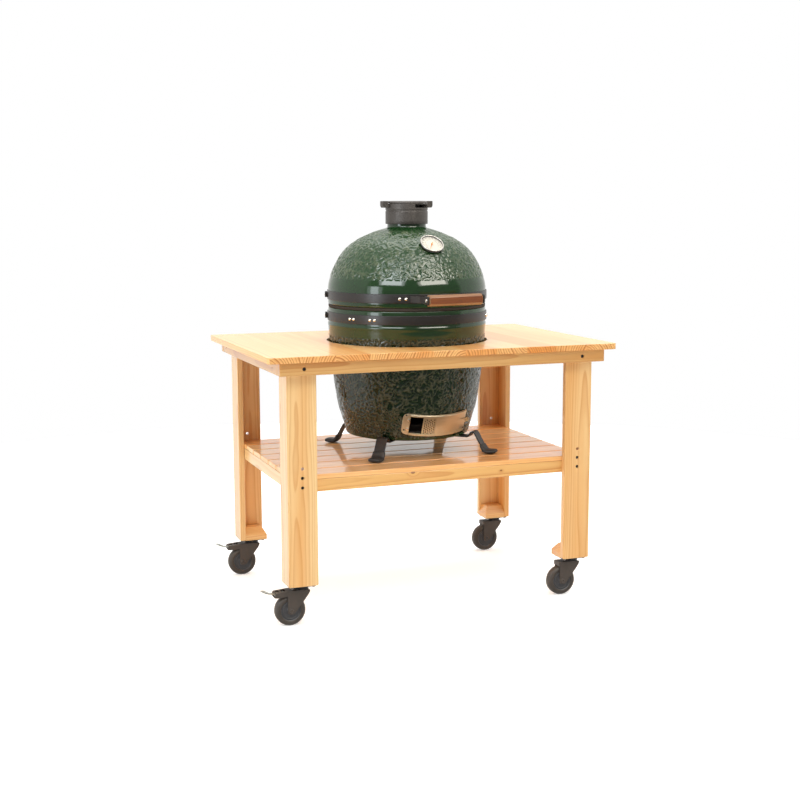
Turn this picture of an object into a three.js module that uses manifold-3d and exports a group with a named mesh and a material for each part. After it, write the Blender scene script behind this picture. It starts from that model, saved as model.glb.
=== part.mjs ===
// Kamado grill table: a varnished pine table on four casters that carries a
// ceramic kamado grill in a round hole of its top. Millimetres, +Z up.
// The origin is on the floor under the middle of the whole object.
import * as THREE from "three";
import { mergeVertices } from "three/addons/utils/BufferGeometryUtils.js";
import Module from "manifold-3d";

const wasm = await Module();
wasm.setup();

// ---------------------------------------------------------------- dimensions
const GAP = 0.3;              // clearance between pieces that touch
const W = 1200, D = 804;      // table top between the legs' overhangs, and its depth
const TOP_X1 = 606;           // right edge of the top, which reaches 6 mm further than the left one
const H = 872;                // height of the table top's upper face
const TOP_T = 20;             // thickness of the top
const HOLE_R = 278;           // round hole for the grill
const OVER_X = 39, OVER_Y = 11.5;       // overhang past the aprons
const APRON_T = 28, APRON_H = 40;
const LEG_W = 98, LEG_D = 86, BOARD_T = 20;   // L-shaped leg of two boards
const LEG_Z0 = 132.5;         // underside of the legs
const BLOCK_H = 44;           // bevelled corner block in the foot of each leg
const SHELF_Z = 489, SLAT_T = 15.5, RAIL_H = 40, RAIL_T = 20;
const SLATS = 7, SLAT_GAP = 8;
const TIP = 132;              // brake pedal tip, measured from the swivel axis

const WHEEL_R = 50, WHEEL_W = 32, TRAIL = 36;
const CASTER_X = 484, CASTER_Y = 319.5;

const YAW = 7.5;              // the grill's front, degrees from -Y towards +X
const GRILL_X = 4.5;          // the grill and its hole, right of the table's middle
const STAND_X = 14, STAND_Y = -5;
const RIM_Z = 987;            // top of the ceramic base
const LID_Z = 998;            // lower rim of the lid
const WALL = 24;              // ceramic wall
const BAND_T = 3;
const LOW_BAND = [943, 973], UP_BAND = [1014, 1044];
const HINGE_R = 332, HINGE_Z = 992;     // lid hinge pin, behind the bands
const STAND_YAW = 2, LEG_F = 43.6, LEG_B = 133.4;
const N = 36;                 // facets round the ceramic shells

// the brake pedals reach past the left edge of the top, so the table's middle
// stands 5 mm to the right of the origin
const X0 = (CASTER_X + TIP - TOP_X1) / 2;

// ------------------------------------------------------------------- helpers
const rad = (d) => (d * Math.PI) / 180;

function volume(g) {
  const p = g.attributes.position, ix = g.index.array;
  let v = 0;
  const a = new THREE.Vector3(), b = new THREE.Vector3(), c = new THREE.Vector3();
  for (let i = 0; i < ix.length; i += 3) {
    a.fromBufferAttribute(p, ix[i]); b.fromBufferAttribute(p, ix[i + 1]); c.fromBufferAttribute(p, ix[i + 2]);
    v += a.dot(b.cross(c)) / 6;
  }
  return v;
}

// one closed mesh: shared vertices merged, no zero-area faces, facing outwards
function tidy(src) {
  const g = src.clone();
  for (const k of Object.keys(g.attributes)) if (k !== "position") g.deleteAttribute(k);
  g.clearGroups();
  const m = mergeVertices(g, 1e-3);
  const ix = m.index.array, out = [];
  for (let i = 0; i < ix.length; i += 3) {
    const [a, b, c] = [ix[i], ix[i + 1], ix[i + 2]];
    if (a !== b && b !== c && a !== c) out.push(a, b, c);
  }
  m.setIndex(out);
  if (volume(m) < 0) {
    for (let i = 0; i < out.length; i += 3) [out[i + 1], out[i + 2]] = [out[i + 2], out[i + 1]];
    m.setIndex(out);
  }
  return m;
}

const solid = (g) => {
  const m = tidy(g);
  return new wasm.Manifold(new wasm.Mesh({
    numProp: 3,
    vertProperties: new Float32Array(m.attributes.position.array),
    triVerts: new Uint32Array(m.index.array),
  }));
};
function geo(whole) {
  // slivers that coplanar faces leave behind are dropped
  const s = whole.decompose().filter((p) => p.volume() > 0.05).reduce((a, b) => a.add(b));
  const m = s.getMesh(), n = m.vertProperties.length / m.numProp, p = new Float32Array(n * 3);
  for (let i = 0; i < n; i++) for (let k = 0; k < 3; k++) p[3 * i + k] = m.vertProperties[i * m.numProp + k];
  const g = new THREE.BufferGeometry();
  g.setAttribute("position", new THREE.BufferAttribute(p, 3));
  g.setIndex(Array.from(m.triVerts));
  return g;
}
const join = (...gs) => geo(gs.map(solid).reduce((a, b) => a.add(b)));
const cut = (g, ...tools) => geo(tools.map(solid).reduce((a, b) => a.subtract(b), solid(g)));
const common = (a, b) => geo(solid(a).intersect(solid(b)));

const box = (x0, x1, y0, y1, z0, z1) =>
  new THREE.BoxGeometry(x1 - x0, y1 - y0, z1 - z0).translate((x0 + x1) / 2, (y0 + y1) / 2, (z0 + z1) / 2);

// a flat outline pushed along an axis: "z" takes (x, y), "y" takes (x, z), "x" takes (y, z)
function prism(points, axis, lo, hi, holes = []) {
  const shape = new THREE.Shape(points.map(([u, v]) => new THREE.Vector2(u, v)));
  for (const h of holes) shape.holes.push(new THREE.Path(h.map(([u, v]) => new THREE.Vector2(u, v))));
  const g = new THREE.ExtrudeGeometry(shape, { depth: hi - lo, bevelEnabled: false, steps: 1 });
  g.translate(0, 0, lo);
  const m = new THREE.Matrix4();
  if (axis === "y") m.set(1, 0, 0, 0, 0, 0, 1, 0, 0, 1, 0, 0, 0, 0, 0, 1);
  if (axis === "x") m.set(0, 0, 1, 0, 1, 0, 0, 0, 0, 1, 0, 0, 0, 0, 0, 1);
  if (axis !== "z") g.applyMatrix4(m);
  return g;
}

// rectangle with small cut corners, and one with round corners
const chamfered = (u0, u1, v0, v1, c) => [
  [u0 + c, v0], [u1 - c, v0], [u1, v0 + c], [u1, v1 - c], [u1 - c, v1], [u0 + c, v1], [u0, v1 - c], [u0, v0 + c]];
function rounded(u0, u1, v0, v1, r, n = 4) {
  const out = [];
  for (const [cu, cv, a0] of [[u1 - r, v0 + r, -90], [u1 - r, v1 - r, 0], [u0 + r, v1 - r, 90], [u0 + r, v0 + r, 180]])
    for (let i = 0; i <= n; i++) {
      const a = rad(a0 + (90 * i) / n);
      out.push([cu + r * Math.cos(a), cv + r * Math.sin(a)]);
    }
  return out;
}
const circle = (cu, cv, r, n, a0 = 0) =>
  Array.from({ length: n }, (_, i) => [cu + r * Math.cos(rad(a0 + (360 * i) / n)), cv + r * Math.sin(rad(a0 + (360 * i) / n))]);

// a closed profile of [radius, height] turned about Z
function turned(profile, n = N, phase = 0) {
  const pts = profile.map(([r, z]) => new THREE.Vector2(r, z));
  if (!(profile[0][0] === 0 && profile[profile.length - 1][0] === 0)) pts.push(pts[0].clone());
  return new THREE.LatheGeometry(pts, n, rad(phase), Math.PI * 2).rotateX(Math.PI / 2);
}
const rod = (x, y, z0, z1, r, n = 16) => prism(circle(x, y, r, n), "z", z0, z1);
const rodY = (x, z, y0, y1, r, n = 16, a0 = 0) => prism(circle(x, z, r, n, a0), "y", y0, y1);
const rodX = (y, z, x0, x1, r, n = 16) => prism(circle(y, z, r, n), "x", x0, x1);

// an arc of a turned wall: radii ri and ro are given at z0 and z1, angles are
// counted from -Y towards +X, with the shells' own facet step
function arc(ri0, ro0, z0, ri1, ro1, z1, a0, a1, n) {
  const section = [[ri0, z0], [ro0, z0], [ro1, z1], [ri1, z1], [ri0, z0]];
  const lathe = new THREE.LatheGeometry(section.map(([r, z]) => new THREE.Vector2(r, z)), n, rad(a0), rad(a1 - a0)).rotateX(Math.PI / 2);
  // the turned wall is open at its two ends: close each with the section's own four corners
  const ix = Array.from(lathe.index.array), last = n * 5;
  ix.push(0, 2, 1, 0, 3, 2, last, last + 1, last + 2, last, last + 2, last + 3);
  lathe.setIndex(ix);
  const t = tidy(lathe), k = new Map();
  // both ends must run against their neighbours, whichever way the wall was wound
  for (let i = 0; i < t.index.count; i += 3) for (let j = 0; j < 3; j++) {
    const e = `${t.index.array[i + j]},${t.index.array[i + ((j + 1) % 3)]}`;
    k.set(e, (k.get(e) || 0) + 1);
  }
  if ([...k.values()].every((c) => c === 1)) return t;
  const fixed = ix.slice(0, -12);
  fixed.push(0, 1, 2, 0, 2, 3, last, last + 2, last + 1, last, last + 3, last + 2);
  lathe.setIndex(fixed);
  return tidy(lathe);
}

// ----------------------------------------------------------------- materials
const mat = (color, roughness, metalness = 0) => new THREE.MeshStandardMaterial({ color, roughness, metalness });
const PINE = mat(0xe2b478, 0.3), PINE_B = mat(0xd9a566, 0.3);
const GLAZE = mat(0x1f4a26, 0.12), CLAY = mat(0xc9b79a, 0.9);
const IRON = mat(0x55504a, 0.6, 0.4), BLACK = mat(0x2b2724, 0.45, 0.3), STEEL = mat(0xb9b4aa, 0.28, 1);
const BROWN = mat(0x6b3a20, 0.4), RUBBER = mat(0x2d2926, 0.7), PLASTIC = mat(0x3b3531, 0.6), FELT = mat(0x191613, 0.95);
const WHITE = mat(0xf3eee2, 0.5), ORANGE = mat(0xe8892a, 0.5), LENS = new THREE.MeshStandardMaterial({ color: 0xffffff, roughness: 0.05, transparent: true, opacity: 0.25 });

const object = new THREE.Group();
const table = new THREE.Group(), grill = new THREE.Group(), stand = new THREE.Group();
table.position.x = X0;
grill.position.x = X0 + GRILL_X;
grill.rotation.z = rad(YAW);
stand.position.set(X0 + STAND_X, STAND_Y, 0);
stand.rotation.z = rad(STAND_YAW);
object.add(table, grill, stand);

function piece(parent, name, geometry, material, x = 0, y = 0) {
  const g = tidy(geometry);
  g.computeVertexNormals();
  const m = new THREE.Mesh(g, material);
  m.name = name;
  m.position.set(x, y, 0);
  parent.add(m);
  return m;
}

// ------------------------------------------------------------------ woodwork
const ax = W / 2 - OVER_X, ay = D / 2 - OVER_Y;        // outer faces of the aprons
const axr = ax + 3.6;                                  // the right one stands a little further out
const lx = ax - APRON_T, ly = ay - APRON_T;            // outer faces of the legs
const under = H - TOP_T;

piece(table, "table_top", prism(rounded(-W / 2, TOP_X1, -D / 2, D / 2, 12, 4), "z", under, H, [circle(GRILL_X, 0, HOLE_R, 64)]), PINE);

const az0 = under - GAP - APRON_H, az1 = under - GAP;
piece(table, "apron_front", prism(chamfered(-ay, -ly - GAP, az0, az1, 2.5), "x", -ax, axr), PINE);
piece(table, "apron_back", prism(chamfered(ly + GAP, ay, az0, az1, 2.5), "x", -ax, axr), PINE);
piece(table, "apron_left", prism(chamfered(-ax, -lx - GAP, az0, az1, 2.5), "y", -ly + GAP, ly - GAP), PINE_B);
piece(table, "apron_right", prism(chamfered(lx + GAP, axr, az0, az1, 2.5), "y", -ly + GAP, ly - GAP), PINE_B);

// one leg, drawn for the front right corner at (lx, -ly): a wide front board, a
// side board behind it, a bevelled block in the foot, and a spare bolt hole
function leg() {
  const c = 2.5, t = BOARD_T;
  const outline = [[lx - LEG_W + c, -ly], [lx - c, -ly], [lx, -ly + c], [lx, -ly + LEG_D - c], [lx - c, -ly + LEG_D],
    [lx - t + c, -ly + LEG_D], [lx - t, -ly + LEG_D - c], [lx - t, -ly + t], [lx - LEG_W + c, -ly + t], [lx - LEG_W, -ly + t - c], [lx - LEG_W, -ly + c]];
  const boards = prism(outline, "z", LEG_Z0, under - GAP);
  const x0 = lx - LEG_W, x1 = lx - t + 1, y0 = -ly + t - 1, y1 = -ly + LEG_D, z0 = LEG_Z0, zb = LEG_Z0 + BLOCK_H - 26, z1 = LEG_Z0 + BLOCK_H;
  // bevelled block: a box whose two free upper edges are cut away
  const block = cut(box(x0, x1, y0, y1, z0, z1),
    prism([[y1 + 1, zb - 1], [y1 + 1, z1 + 2], [y1 - 28, z1 + 2]], "x", x0 - 5, x1 + 5),
    prism([[x0 - 1, zb - 1.857], [x0 - 1, z1 + 2], [x0 + 15.08, z1 + 2]], "y", y0 - 5, y1 + 5));
  return cut(join(boards, block), rodY(CASTER_X, 514, -ly - 5, -ly + t + 5, 4, 12));
}
const legShape = leg();
const mirror = (g, sx, sy) => g.clone().scale(sx, sy, 1);
for (const [name, sx, sy] of [["front_left", -1, 1], ["front_right", 1, 1], ["back_left", -1, -1], ["back_right", 1, -1]])
  piece(table, `leg_${name}`, mirror(legShape, sx, sy), PINE);

const sx = lx - BOARD_T - GAP, sy = ly - BOARD_T - GAP;   // outer faces of the shelf
const rz1 = SHELF_Z - SLAT_T - GAP, rz0 = rz1 - RAIL_H;
piece(table, "shelf_rail_front", prism(chamfered(-sy, -sy + RAIL_T, rz0, rz1, 2), "x", -sx, sx), PINE);
piece(table, "shelf_rail_back", prism(chamfered(sy - RAIL_T, sy, rz0, rz1, 2), "x", -sx, sx), PINE);
piece(table, "shelf_rail_left", prism(chamfered(-sx, -sx + RAIL_T, rz0, rz1, 2), "y", -sy + RAIL_T + GAP, sy - RAIL_T - GAP), PINE_B);
piece(table, "shelf_rail_right", prism(chamfered(sx - RAIL_T, sx, rz0, rz1, 2), "y", -sy + RAIL_T + GAP, sy - RAIL_T - GAP), PINE_B);
const slatW = (2 * sy - (SLATS - 1) * SLAT_GAP) / SLATS;
for (let i = 0; i < SLATS; i++) {
  const y0 = -sy + i * (slatW + SLAT_GAP);
  piece(table, `shelf_slat_${i + 1}`, prism(chamfered(y0, y0 + slatW, rz1 + GAP, SHELF_Z, 2), "x", -sx, sx), i % 2 ? PINE_B : PINE);
}

// ------------------------------------------------------------------- casters
// local frame: the swivel axis is x = 0, the wheel trails towards -X
const PLATE_Z = LEG_Z0 - GAP;
const wheelX = -TRAIL, hubH = WHEEL_R;
const CH = 17.5, CT = 2.5;     // half gap between the fork's cheeks, sheet thickness

const plateShape = join(
  box(-44, 44, -37, 37, PLATE_Z - 2.5, PLATE_Z),
  turned([[0, 119], [24, 119], [27, 122], [27, PLATE_Z - 1], [0, PLATE_Z - 1]], 16));

function fork(braked) {
  const p = (u, z) => [wheelX + u, z];
  const cheek = [p(-11, 49), p(-9.5, 43), p(-5.5, 39.2), p(0, 38), p(6, 38.8), p(12.5, 42.5), p(19, 50), p(40, 77), p(56, 98), p(63, 111), p(63, 116), p(-11, 116)];
  const parts = [prism(cheek, "y", CH, CH + CT), prism(cheek, "y", -CH - CT, -CH)];
  // crown: flat top with a round nose about the swivel axis
  const nose = [];
  for (let i = 0; i <= 8; i++) { const a = rad(-49.6 + (99.2 * i) / 8); nose.push([26.8 * Math.cos(a), 26.1 * Math.sin(a)]); }
  const back = braked ? -12 : -14;
  parts.push(prism([[wheelX + back, -CH - CT], ...nose.map(([x, y]) => [x, Math.max(-CH - CT, Math.min(CH + CT, y))]), [wheelX + back, CH + CT]], "z", 113.5, 116.2));
  parts.push(turned([[0, 115], [19, 115], [19, 118.7], [0, 118.7]], 16));
  parts.push(rodY(wheelX, hubH, -CH - 1, CH + 1, 6.05, 16));                 // riveted axle
  parts.push(rodY(wheelX, hubH, -CH - CT - 3.5, -CH - CT + 1, 7.5, 12), rodY(wheelX, hubH, CH + CT - 1, CH + CT + 3.5, 7.5, 12));
  if (!braked) {
    parts.push(box(wheelX - 14, wheelX - 11.5, -CH - CT, CH + CT, 101.5, 115));   // short bent-down lip
  } else {
    const side = [p(-10.9, 116), p(-49, 112.5), p(-53, 108), p(-53, 99.5), p(-47.5, 96.5), p(-30, 96.5), p(-10.9, 99)];
    parts.push(prism(side, "y", CH, CH + CT), prism(side, "y", -CH - CT, -CH));
    parts.push(box(wheelX - 53, wheelX - 48, -CH - 1, CH + 1, 96.5, 99.5));
  }
  return join(...parts);
}
const forkPlain = fork(false), forkBrake = fork(true);
// sheet-metal pedal on a cross pin, lying between the housing's walls
const px = -TIP;
const pedal = join(
  prism([[wheelX - 16, 108], [wheelX - 50, 106.6], [px + 31, 107], [px + 20, 108.5], [px + 10, 112.5], [px + 0, 119.2], [px + 1.5, 122], [px + 11, 116.5], [px + 21, 111.8], [px + 31, 110.2], [wheelX - 50, 109.8], [wheelX - 16, 111]], "y", -13, 13),
  rodY(wheelX - 20, 109.2, -16.8, 16.8, 2.8, 10));

// wheel: solid tread, raised rim ring and hub, turned about its own axle
const wr = WHEEL_R / Math.cos(Math.PI / 24), hw = WHEEL_W / 2;
const wheelProfile = [[6.3, -hw - 1.2], [13, -hw - 1.2], [15, -hw], [wr - 6, -hw], [wr, -hw + 6],
  [wr, hw - 6], [wr - 6, hw], [15, hw], [13, hw + 1.2], [6.3, hw + 1.2]];
const wheelShape = turned(wheelProfile, 24, 180 / 24).rotateX(Math.PI / 2).translate(wheelX, 0, hubH);

for (const [name, cx, cy, brake] of [["front_left", -1, -1, true], ["front_right", 1, -1, false], ["back_left", -1, 1, true], ["back_right", 1, 1, false]]) {
  const x = cx * CASTER_X, y = cy * CASTER_Y;
  piece(table, `caster_plate_${name}`, plateShape, BLACK, x, y);
  piece(table, `caster_fork_${name}`, brake ? forkBrake : forkPlain, BLACK, x, y);
  piece(table, `wheel_${name}`, wheelShape, PLASTIC, x, y);
  if (brake) piece(table, `brake_pedal_${name}`, pedal, STEEL, x, y);
}

// -------------------------------------------------------------------- shells
// outer profiles of the ceramic, [radius, height]
const BASE_OUT = [[0, 548], [202, 548], [212.5, 552.5], [229.5, 612], [241.3, 655], [253.8, 735], [264.5, 826], [270.6, 905], [271.8, 945], [271.8, RIM_Z]];
const DOME_OUT = [[271.8, LID_Z], [271.8, 1052], [267.3, 1079], [254.6, 1114], [234.8, 1153], [207.5, 1187], [166.2, 1217], [112.8, 1241], [72, 1254], [66.2, 1261], [66.2, 1292]];
const baseIn = [[0, 574], [180, 574], [190, 582], [214, 664], [229, 740], [241, 830], [247, 917], [247.8, RIM_Z]];
const DRAFT = { a0: -28, a1: -2.5, z0: 578, z1: 634.5 };        // opening through the ceramic wall
const bowlSolid = turned([...BASE_OUT, ...baseIn.slice().reverse()]);
piece(grill, "base_bowl", cut(bowlSolid, arc(150, 300, DRAFT.z0, 150, 300, DRAFT.z1, DRAFT.a0, DRAFT.a1, 3)), GLAZE);

const domeIn = [[247.8, LID_Z], [247.8, 1048], [237.5, 1088], [218, 1126], [184, 1164], [140, 1195], [88, 1217], [49, 1236], [49, 1292]];
// thermometer: axis 50 degrees above the horizon, a little left of the grill's middle
const TH = { a: -3.4, e: 50, r: 193.3, z: 1198.8 };
function onTherm(g) {
  // g is built about +Z with the dial's face up, its seat at z = 0
  g.rotateX(rad(90 - TH.e));
  g.translate(0, -TH.r, TH.z);
  return g.rotateZ(rad(TH.a));
}
piece(grill, "dome_lid", cut(turned([...DOME_OUT, ...domeIn.slice().reverse()]), onTherm(rod(0, 0, -40, 30, 5.5, 12))), GLAZE);
piece(grill, "gasket", turned([[250, RIM_Z + GAP], [271, RIM_Z + GAP], [271, LID_Z - GAP], [250, LID_Z - GAP]]), FELT);

// -------------------------------------------------------------- fire chamber
const FB_Z = 574 + GAP;
const fireIn = [[150, 600], [178, 622], [198, 720], [206, 848]];
const fireOut = [[224, 848], [214, 720], [190, 612], [168, FB_Z]];
piece(grill, "firebox", cut(turned([[0, 600], ...fireIn, ...fireOut, [0, FB_Z]], N),
  arc(100, 300, 578, 100, 300, 632, DRAFT.a0 - 2, DRAFT.a1 + 2, 3), ...[45, 135, 225, 315].map((a) => arc(160, 240, 700, 160, 240, 718, a - 4, a + 4, 1))), CLAY);
piece(grill, "fire_ring", turned([[208, 848 + GAP], [226, 848 + GAP], [239, 925], [239, 950], [219, 950]]), CLAY);
piece(grill, "charcoal_grate", cut(turned([[0, 640], [150, 640], [150, 652], [0, 652]], 32),
  ...[-100, -60, -20, 20, 60, 100].map((x) => box(x - 6, x + 6, -Math.sqrt(138 * 138 - x * x), Math.sqrt(138 * 138 - x * x), 630, 660))), IRON);
const grateBars = [];
for (let i = -5; i <= 5; i++) { const x = i * 38, l = Math.sqrt(226 * 226 - x * x); grateBars.push(box(x - 2.5, x + 2.5, -l, l, 954, 959)); }
grateBars.push(box(-227, 227, -2.5, 2.5, 951, 955));
piece(grill, "cooking_grate", join(turned([[225, 951], [233, 951], [233, 959], [225, 959]], N), ...grateBars), STEEL);

// --------------------------------------------------------------------- bands
const BI = 272.2, BO = BI + BAND_T;      // inner and outer radius of the bands
const bolt = (a, z, r = 5.5, h = 4.5, r0 = BO) => {
  const g = turned([[0, -1.5], [r, -1.5], [r, h * 0.4], [r * 0.6, h * 0.85], [0, h]], 8);
  return g.rotateX(Math.PI / 2).translate(0, -r0, 0).rotateZ(rad(a)).translate(0, 0, z);
};
const lowZ = (LOW_BAND[0] + LOW_BAND[1]) / 2, upZ = (UP_BAND[0] + UP_BAND[1]) / 2;
// ends of the front strap are bent outwards, bolted to the rear bracket
const ear = (a, z0, z1) => box(-2, 2, -BO - 9, -BO + 1.5, z0 + 6, z1 - 6).rotateZ(rad(a));
piece(grill, "lower_band", join(arc(BI, BO, LOW_BAND[0], BI, BO, LOW_BAND[1], -110, 110, 22),
  ear(-109.5, ...LOW_BAND), ear(109.5, ...LOW_BAND),
  ...[54.4 - 3.5, 54.4, 71.5 - 3.5, 71.5].flatMap((a) => [bolt(a, lowZ), bolt(-a, lowZ)])), BLACK);
piece(grill, "upper_band", join(arc(BI, BO, UP_BAND[0], BI, BO, UP_BAND[1], -110, 110, 22),
  ear(-109.5, ...UP_BAND), ear(109.5, ...UP_BAND)), BLACK);

// rear brackets of the lid hinge; the knuckles share one pin behind the grill
const rearArc = (z0, z1) => arc(BI, BO, z0, BI, BO, z1, 120, 240, 12);
const rearEar = (a, z0, z1) => box(-2, 2, -BO - 9, -BO + 1.5, z0 + 6, z1 - 6).rotateZ(rad(a));
const PIN = 5;
function cheekPlate(x0, x1, pts) { return prism(pts, "x", x0, x1); }
const knuckle = (x0, x1) => rodX(HINGE_R, HINGE_Z, x0, x1, 11, 16);
const pinHole = rodX(HINGE_R, HINGE_Z, -140, 140, PIN + 0.25, 16);
const lowArm = (x) => cheekPlate(x - 2.5, x + 2.5, [[250, LOW_BAND[0] + 3], [300, LOW_BAND[0] + 6], [344, HINGE_Z - 10], [344, HINGE_Z + 4], [336, HINGE_Z + 10], [326, HINGE_Z + 9], [300, LOW_BAND[1] + 2], [250, LOW_BAND[1] - 3]]);
const upArm = (x) => cheekPlate(x - 2.5, x + 2.5, [[250, UP_BAND[1] - 3], [300, UP_BAND[1] - 8], [344, HINGE_Z + 10], [344, HINGE_Z - 4], [336, HINGE_Z - 10], [326, HINGE_Z - 8], [302, UP_BAND[0] + 2], [250, UP_BAND[0] + 3]]);
const insideClear = turned([[0, 900], [BI, 900], [BI, 1080], [0, 1080]]);
piece(grill, "hinge_base_bracket", cut(join(rearArc(...LOW_BAND), rearEar(120.8, ...LOW_BAND), rearEar(-120.8, ...LOW_BAND),
  lowArm(-92), lowArm(92), knuckle(-94.5, -80), knuckle(80, 94.5)), pinHole, insideClear), BLACK);
piece(grill, "hinge_lid_bracket", cut(join(rearArc(...UP_BAND), rearEar(120.8, ...UP_BAND), rearEar(-120.8, ...UP_BAND),
  upArm(-74), upArm(74), knuckle(-79, -66), knuckle(66, 79)), pinHole, insideClear), BLACK);
piece(grill, "hinge_pin", join(rodX(HINGE_R, HINGE_Z, -101, 101, PIN, 16), rodX(HINGE_R, HINGE_Z, -104, -98, 8.5, 6), rodX(HINGE_R, HINGE_Z, 98, 104, 8.5, 6)), STEEL);
// torsion springs round the pin, as sleeves of the coils' size
const spring = (x0, x1) => cut(rodX(HINGE_R, HINGE_Z, x0, x1, 11, 16), rodX(HINGE_R, HINGE_Z, x0 - 1, x1 + 1, 6.6, 16));
piece(grill, "hinge_spring_left", spring(-63, -12), STEEL);
piece(grill, "hinge_spring_right", spring(12, 63), STEEL);

// -------------------------------------------------------------------- handle
const GR = 331, GL = 102.5, gz = 1028;        // grip: radius of its middle, half length, height
const strap = (s) => {
  // bolted foot on the band, an arm standing out from it, a plate at the grip's end
  const c = (u, v) => [s * u, v];
  return join(
    arc(BO + 0.3, BO + 3.8, gz - 12, BO + 0.3, BO + 3.8, gz + 13, s > 0 ? 22.5 : -37.5, s > 0 ? 37.5 : -22.5, 2),
    prism([c(118, -257), c(111, -246), c(106, -249), c(104.2, -288), c(104.2, -345), c(108.2, -345), c(108.2, -290)], "z", gz - 12, gz + 13),
    prism([c(104.2, -319), c(108.2, -319), c(108.2, -345), c(104.2, -345)], "z", gz - 14, gz + 15));
};
piece(grill, "handle_bracket_left", join(cut(strap(-1), turned([[0, 900], [BO + 0.3, 900], [BO + 0.3, 1100], [0, 1100]], N)), bolt(-33, upZ, 5.5, 5, BO + 3.5), bolt(-28.7, upZ, 5.5, 5, BO + 3.5)), BLACK);
piece(grill, "handle_bracket_right", join(cut(strap(1), turned([[0, 900], [BO + 0.3, 900], [BO + 0.3, 1100], [0, 1100]], N)), bolt(33, upZ, 5.5, 5, BO + 3.5), bolt(28.7, upZ, 5.5, 5, BO + 3.5)), BLACK);
piece(grill, "handle_grip", prism([[-GR - 15, gz - 11], [-GR - 7, gz - 19], [-GR + 7, gz - 19], [-GR + 15, gz - 11], [-GR + 15, gz + 11], [-GR + 7, gz + 19], [-GR - 7, gz + 19], [-GR - 15, gz + 11]], "x", -GL, GL), BROWN);

// --------------------------------------------------------------- thermometer
const caseShape = cut(join(turned([[0, 0.5], [28, 0.5], [38.5, 2.5], [40.5, 5], [40.5, 10.5], [38.8, 12.5], [0, 12.5]], 24), rod(0, 0, -95, 3, 4, 8)),
  turned([[0, 6], [36, 6], [36, 20], [0, 20]], 24));
piece(grill, "thermometer_case", onTherm(caseShape), STEEL);
piece(grill, "thermometer_needle", onTherm(join(prism([[-1.2, -10], [1.2, -10], [2.2, 0], [0.8, 27], [-0.8, 27], [-2.2, 0]], "z", 7.2, 8), rod(0, 0, 6.6, 8.8, 4, 12)).rotateZ(rad(148))), ORANGE);
piece(grill, "thermometer_lens", onTherm(turned([[0, 10.2], [35.7, 10.2], [35.7, 11.8], [0, 11.8]], 24)), LENS);

// ---------------------------------------------------------------- vent tower
// iron collar that slips over the neck, with two windows in its upper ring
const WINDOWS = [28.5, 208.5];        // middles of the windows, 66 degrees wide
const collar = turned([[66.9, 1268], [72.6, 1268], [72.6, 1311], [71.3, 1312.5], [71.3, 1315], [72.6, 1316.5], [72.6, 1337], [60, 1337], [60, 1295], [66.9, 1295]], 24);
piece(grill, "vent_collar", cut(collar, ...WINDOWS.map((a) => arc(50, 90, 1323, 50, 90, 1334, a - 33, a + 33, 3))), IRON);
// turning cap: top disc, inner skirt with two narrower windows, two knobs;
// a quarter turn puts the skirt's wall behind the collar's windows
const skirt = cut(turned([[54, 1300], [59, 1300], [59, 1339], [54, 1339]], 24), ...WINDOWS.map((a) => arc(40, 70, 1323, 40, 70, 1334, a - 27, a + 27, 3)));
const knob = (s) => join(box(s > 0 ? 60 : -80, s > 0 ? 80 : -60, -6, 6, 1338.2, 1345.5), box(s > 0 ? 75.4 : -96.5, s > 0 ? 96.5 : -75.4, -10, 10, 1330, 1345.5), box(s > 0 ? 77.4 : -94.5, s > 0 ? 94.5 : -77.4, -9, 9, 1323, 1331));
piece(grill, "vent_cap", join(skirt, turned([[0, 1338], [71.6, 1338], [71.6, 1341.5], [64, 1346], [0, 1346]], 24), knob(1), knob(-1)), IRON);

// ---------------------------------------------------------------- draft door
// The frame is a straight strip bent round an axis that leans out with the
// bowl's side, and both sliders turn about that axis. Its sheets are drawn about
// +Z with their front at -Y, then leaned and set on the bowl. Along the strip
// lengths are counted from its middle, across it from -FH to FH.
const LEAN = 18, BEND_R = 240, FRAME_A = 1, FRAME_R = 228.8, FRAME_Z = 601.5, FH = 38;
const sheet = (o0, o1, h0, h1, s0, s1, n) => arc(BEND_R + o0, BEND_R + o1, h0, BEND_R + o0, BEND_R + o1, h1, (s0 / BEND_R) * 180 / Math.PI, (s1 / BEND_R) * 180 / Math.PI, n);
const onBowl = (g) => g.translate(0, BEND_R, 0).rotateX(rad(LEAN)).translate(0, -FRAME_R, FRAME_Z).rotateZ(rad(FRAME_A));
const frameBody = join(
  sheet(0, 1.4, -FH, FH, -134, 116, 9),
  sheet(0.7, 8, FH - 3.4, FH - 0.4, -110, 106, 7), sheet(6.5, 8.2, FH - 7, FH - 0.9, -110, 106, 7),
  sheet(0.7, 8, -FH + 0.4, -FH + 3.4, -110, 106, 7), sheet(6.5, 8.2, -FH + 0.9, -FH + 7.5, -110, 106, 7));
piece(grill, "draft_frame", onBowl(cut(frameBody, sheet(-3, 5, -20, 25.5, -109, -18, 3))), STEEL);
// perforated slider next to the frame, plain slider over it; the plain one has
// a tongue at its right end, bent outwards to pull it by
const slots = [];
for (let i = 0; i < 5; i++) for (let j = 0; j < 2; j++)
  slots.push(box(-2, 2, -260, -220, -27 + j * 25, -7 + j * 25).rotateZ((-53 + i * 21) / BEND_R));
piece(grill, "screen_door", onBowl(cut(sheet(2.2, 3.2, -34, 34, -66, 44, 4), ...slots)), STEEL);
piece(grill, "draft_door", onBowl(join(sheet(4.1, 5.2, -34, 34, -21, 82, 4), sheet(4.1, 5.2, -10, 8, 81, 121, 2), sheet(4.4, 13.5, -10, 8, 119.8, 121, 1))), STEEL);

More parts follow.
